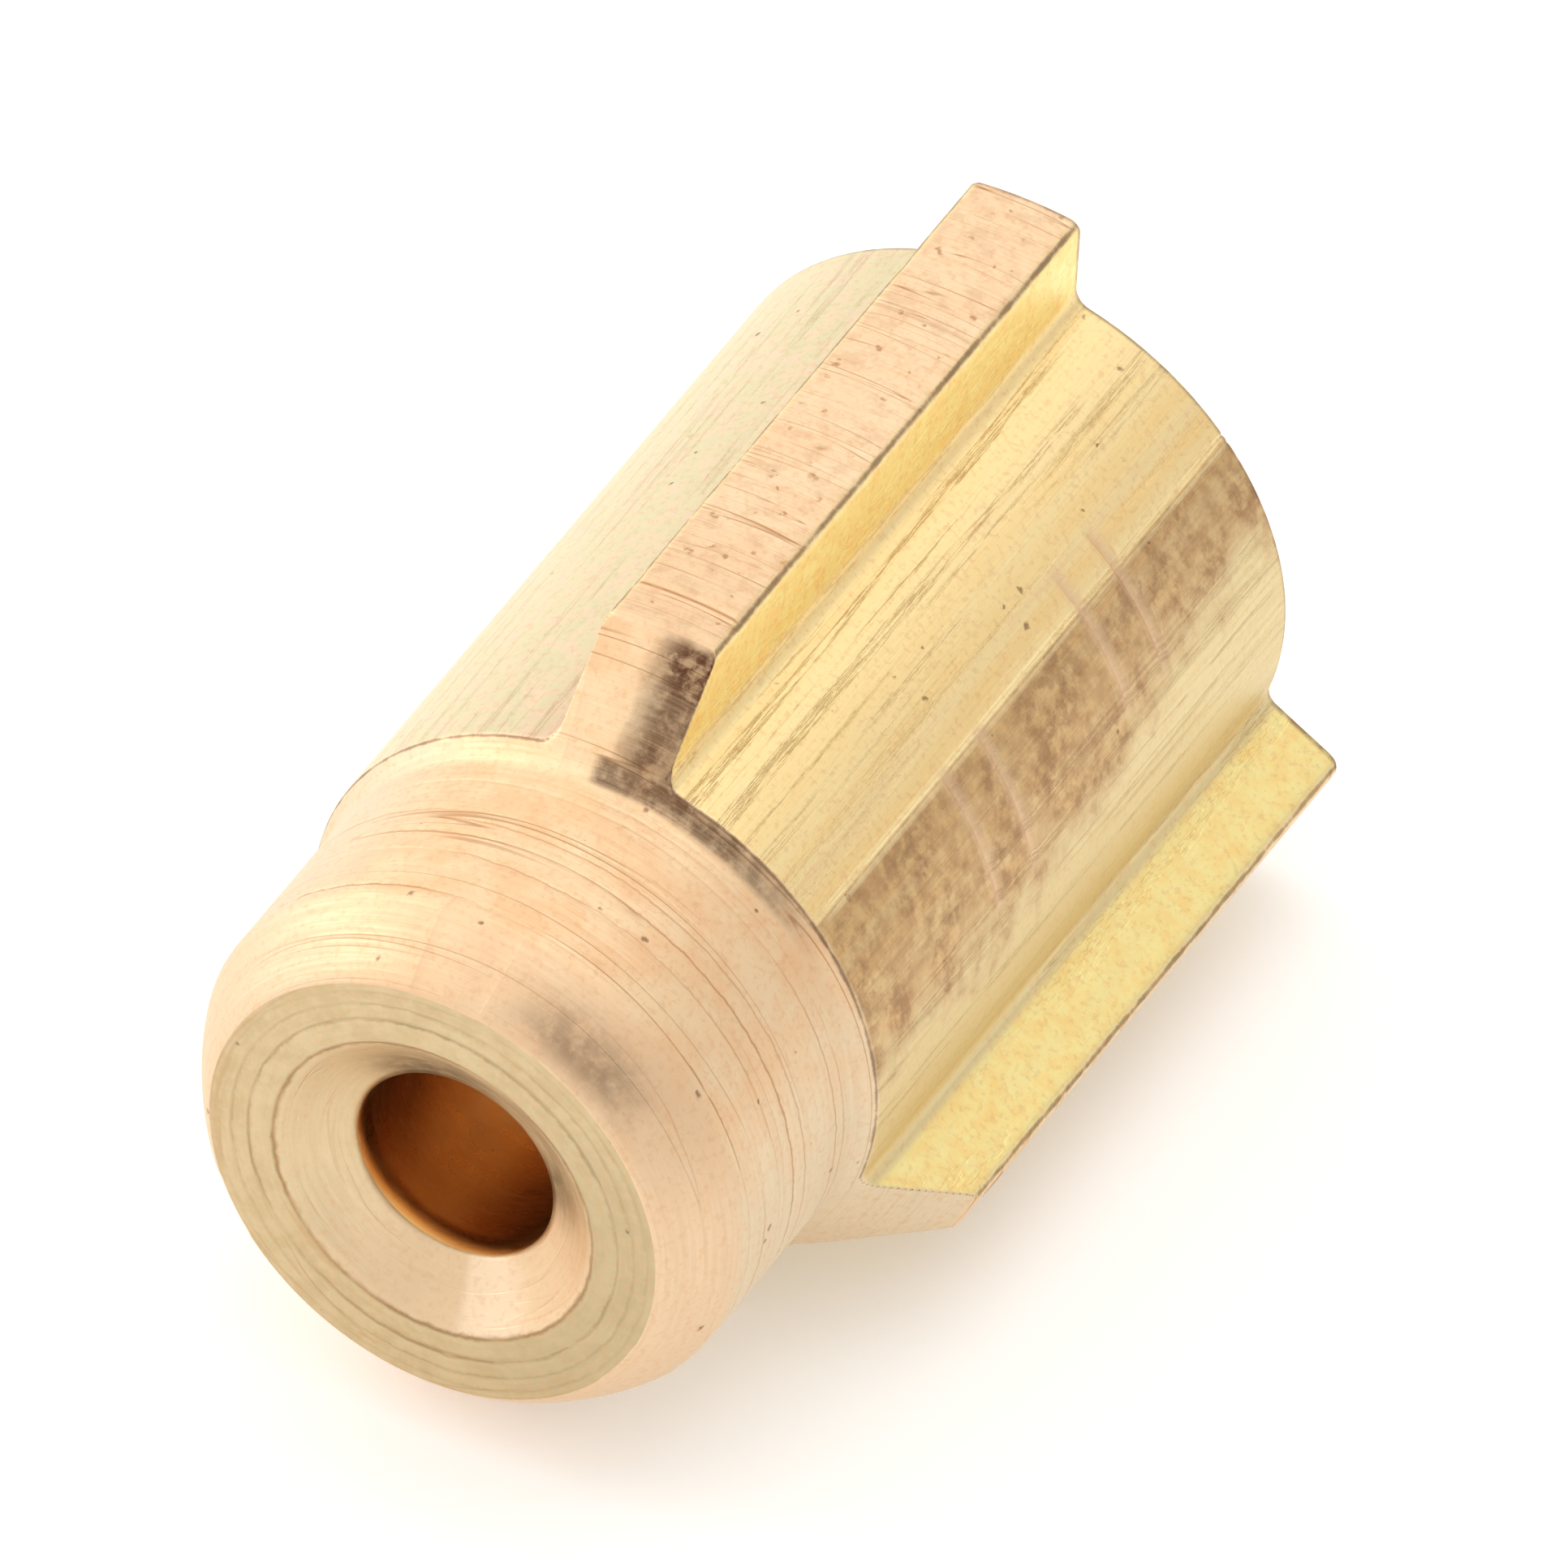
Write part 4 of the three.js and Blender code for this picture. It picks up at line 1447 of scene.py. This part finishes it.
def wire_points(path, closed):
    """Rings of points round each place on a wire's path, given in metres."""
    path = np.array(path)
    ahead = np.roll(path, -1, axis=0)
    behind = np.roll(path, 1, axis=0)
    if not closed:
        ahead[-1], behind[0] = path[-1], path[0]
    run = ahead - behind
    run = run / np.linalg.norm(run, axis=1)[:, None]
    outward = path - np.array([0.0, 0.0, axis_height * mm])
    outward[:, 1] = 0.0
    side = np.cross(run, outward)
    side = side / np.linalg.norm(side, axis=1)[:, None]
    proud = np.cross(side, run)
    turns = np.arange(wire_sides) * full_turn / wire_sides
    ring = np.cos(turns)[None, :, None] * side[:, None, :] + np.sin(turns)[None, :, None] * proud[:, None, :]
    return path[:, None, :] + ring * wire_radius * mm


def wires_mesh(name, wires):
    """One mesh of many wires. Each is (path, closed)."""
    points, faces = [], []
    for path, closed in wires:
        start = len(points)
        points += wire_points(path, closed).reshape(-1, 3).tolist()
        count = len(path)
        grid = start + np.arange(count * wire_sides).reshape(count, wire_sides)
        beside = np.roll(grid, -1, axis=1)
        quads = np.stack([grid, beside, np.roll(beside, -1, axis=0), np.roll(grid, -1, axis=0)], axis=-1)
        faces += quads[: count if closed else count - 1].reshape(-1, 4).tolist()
        if not closed:
            faces += [grid[0, ::-1].tolist(), grid[-1].tolist()]
    mesh = bpy.data.meshes.new(name)
    mesh.from_pydata(points, [], faces)
    shape = open_for_repair(mesh)
    bmesh.ops.recalc_face_normals(shape, faces=shape.faces)
    close_repaired(shape, mesh)
    mesh.polygons.foreach_set("use_smooth", np.ones(len(mesh.polygons), dtype=bool))
    mesh.update()
    return mesh


# %% Strainer gauze
lengthwise_wires = 60
hoop_spacing = 0.17
end_margin = 0.08
weave = 0.042
hoop_span = gauze_back - gauze_front - 2 * end_margin
hoops = round(hoop_span / hoop_spacing)
hoop_places = [gauze_front + end_margin + hoop_span * number / hoops for number in range(hoops + 1)]


def gauze_point(place, angle, height):
    return placed(np.array(place), np.array(angle), np.array(gauze_middle + height))


wires = []
for number in range(lengthwise_wires):
    path = []
    for place in np.linspace(gauze_front + 0.03, gauze_back - 0.03, 2 * hoops + 3):
        phase = (place - hoop_places[0]) / (hoop_places[1] - hoop_places[0])
        height = weave * math.cos(math.pi * (phase + number))
        path.append(gauze_point(place, number * full_turn / lengthwise_wires, height))
    wires.append((path, False))
for number, place in enumerate(hoop_places):
    path = []
    for step in range(lengthwise_wires * 2):
        height = -weave * math.cos(math.pi * (step / 2 + number))
        path.append(gauze_point(place, step * math.pi / lengthwise_wires, height))
    wires.append((path, True))
woven_gauze = show(wires_mesh("woven_gauze", wires), "strainer", "strainer_gauze")

# %% Strainer cap
plug_length = 0.45
cap_corners = [
    (cap_front, 0.0),
    (cap_front, gauze_radius),
    (cap_back, gauze_radius),
    (cap_back, spigot_radius),
    (cap_back + plug_length, spigot_radius),
    (cap_back + plug_length, 0.0),
]
cap_mesh = turned_mesh("gauze_cap", rounded_profile(cap_corners, 0.06), 96)
gauze_cap = show(cap_mesh, "strainer", "strainer_cap")

# %% [markdown]
# ### Finishes of the inner pieces
# The inner brass is clean turned brass, yellower than the body because it has not been handled. The disc is
# lapped steel, nearly white, with rings so fine that they show only as a soft sheen. Copper darkens as it
# ages, and woven bronze wire is browner still in its hollows.

# %% A turned metal from a few colours
def turned_metal(name, bright, deep, line, per_mm, smoothest, roughest, depth_mm):
    material, tree, shader = start_metal(name)
    rings = use_group(tree, lathe_rings, Per_mm=per_mm, Along_share=1.0, Slowness=1.2)
    specks = use_group(tree, specks_group, Per_mm=2.6, Amount=0.12, Size=0.12)
    wear = use_group(tree, edge_wear, Amount=0.8)
    metal = layered(
        mixed(mapped(specks["Mottle"], 0.32, 0.68), colour(*bright), colour(*deep)),
        ("lathe lines", rings["Lines"], 0.5, colour(*line)),
        ("specks", specks["Specks"], 0.5, grime_brown),
        ("rubbed edges", wear["Rubbed"], 0.5, colour(*bright)),
        ("edge lines", wear["Dark line"], 0.35, colour(*line)),
    )
    roughness = mapped(rings["Fine"], 0.3, 0.7, smoothest, roughest)
    finish_metal(shader, metal, roughness, rings["Fine"] - rings["Lines"], depth_mm)
    print("finish", name)
    return material


inner_metals = (
    ("clean_turned_brass", (0.95, 0.71, 0.33), (0.88, 0.60, 0.24), ring_brown[:3], 7.0, 0.26, 0.40, 0.005),
    ("lapped_steel", (0.74, 0.74, 0.75), (0.62, 0.62, 0.64), (0.25, 0.24, 0.24), 12.0, 0.14, 0.24, 0.002),
    ("aged_copper", (0.90, 0.48, 0.30), (0.62, 0.29, 0.16), (0.2, 0.08, 0.05), 4.0, 0.3, 0.5, 0.006),
    ("wire_bronze", (0.80, 0.54, 0.27), (0.52, 0.31, 0.14), (0.16, 0.08, 0.04), 9.0, 0.3, 0.5, 0.003),
)
clean_brass, lapped_steel, aged_copper, wire_bronze = (turned_metal(*recipe) for recipe in inner_metals)
for piece in (distributor, lock_screw, threaded_carrier, gauze_cap):
    piece.data.materials.append(clean_brass)
spray_disc.data.materials.append(lapped_steel)
copper_washer.data.materials.append(aged_copper)
woven_gauze.data.materials.append(wire_bronze)
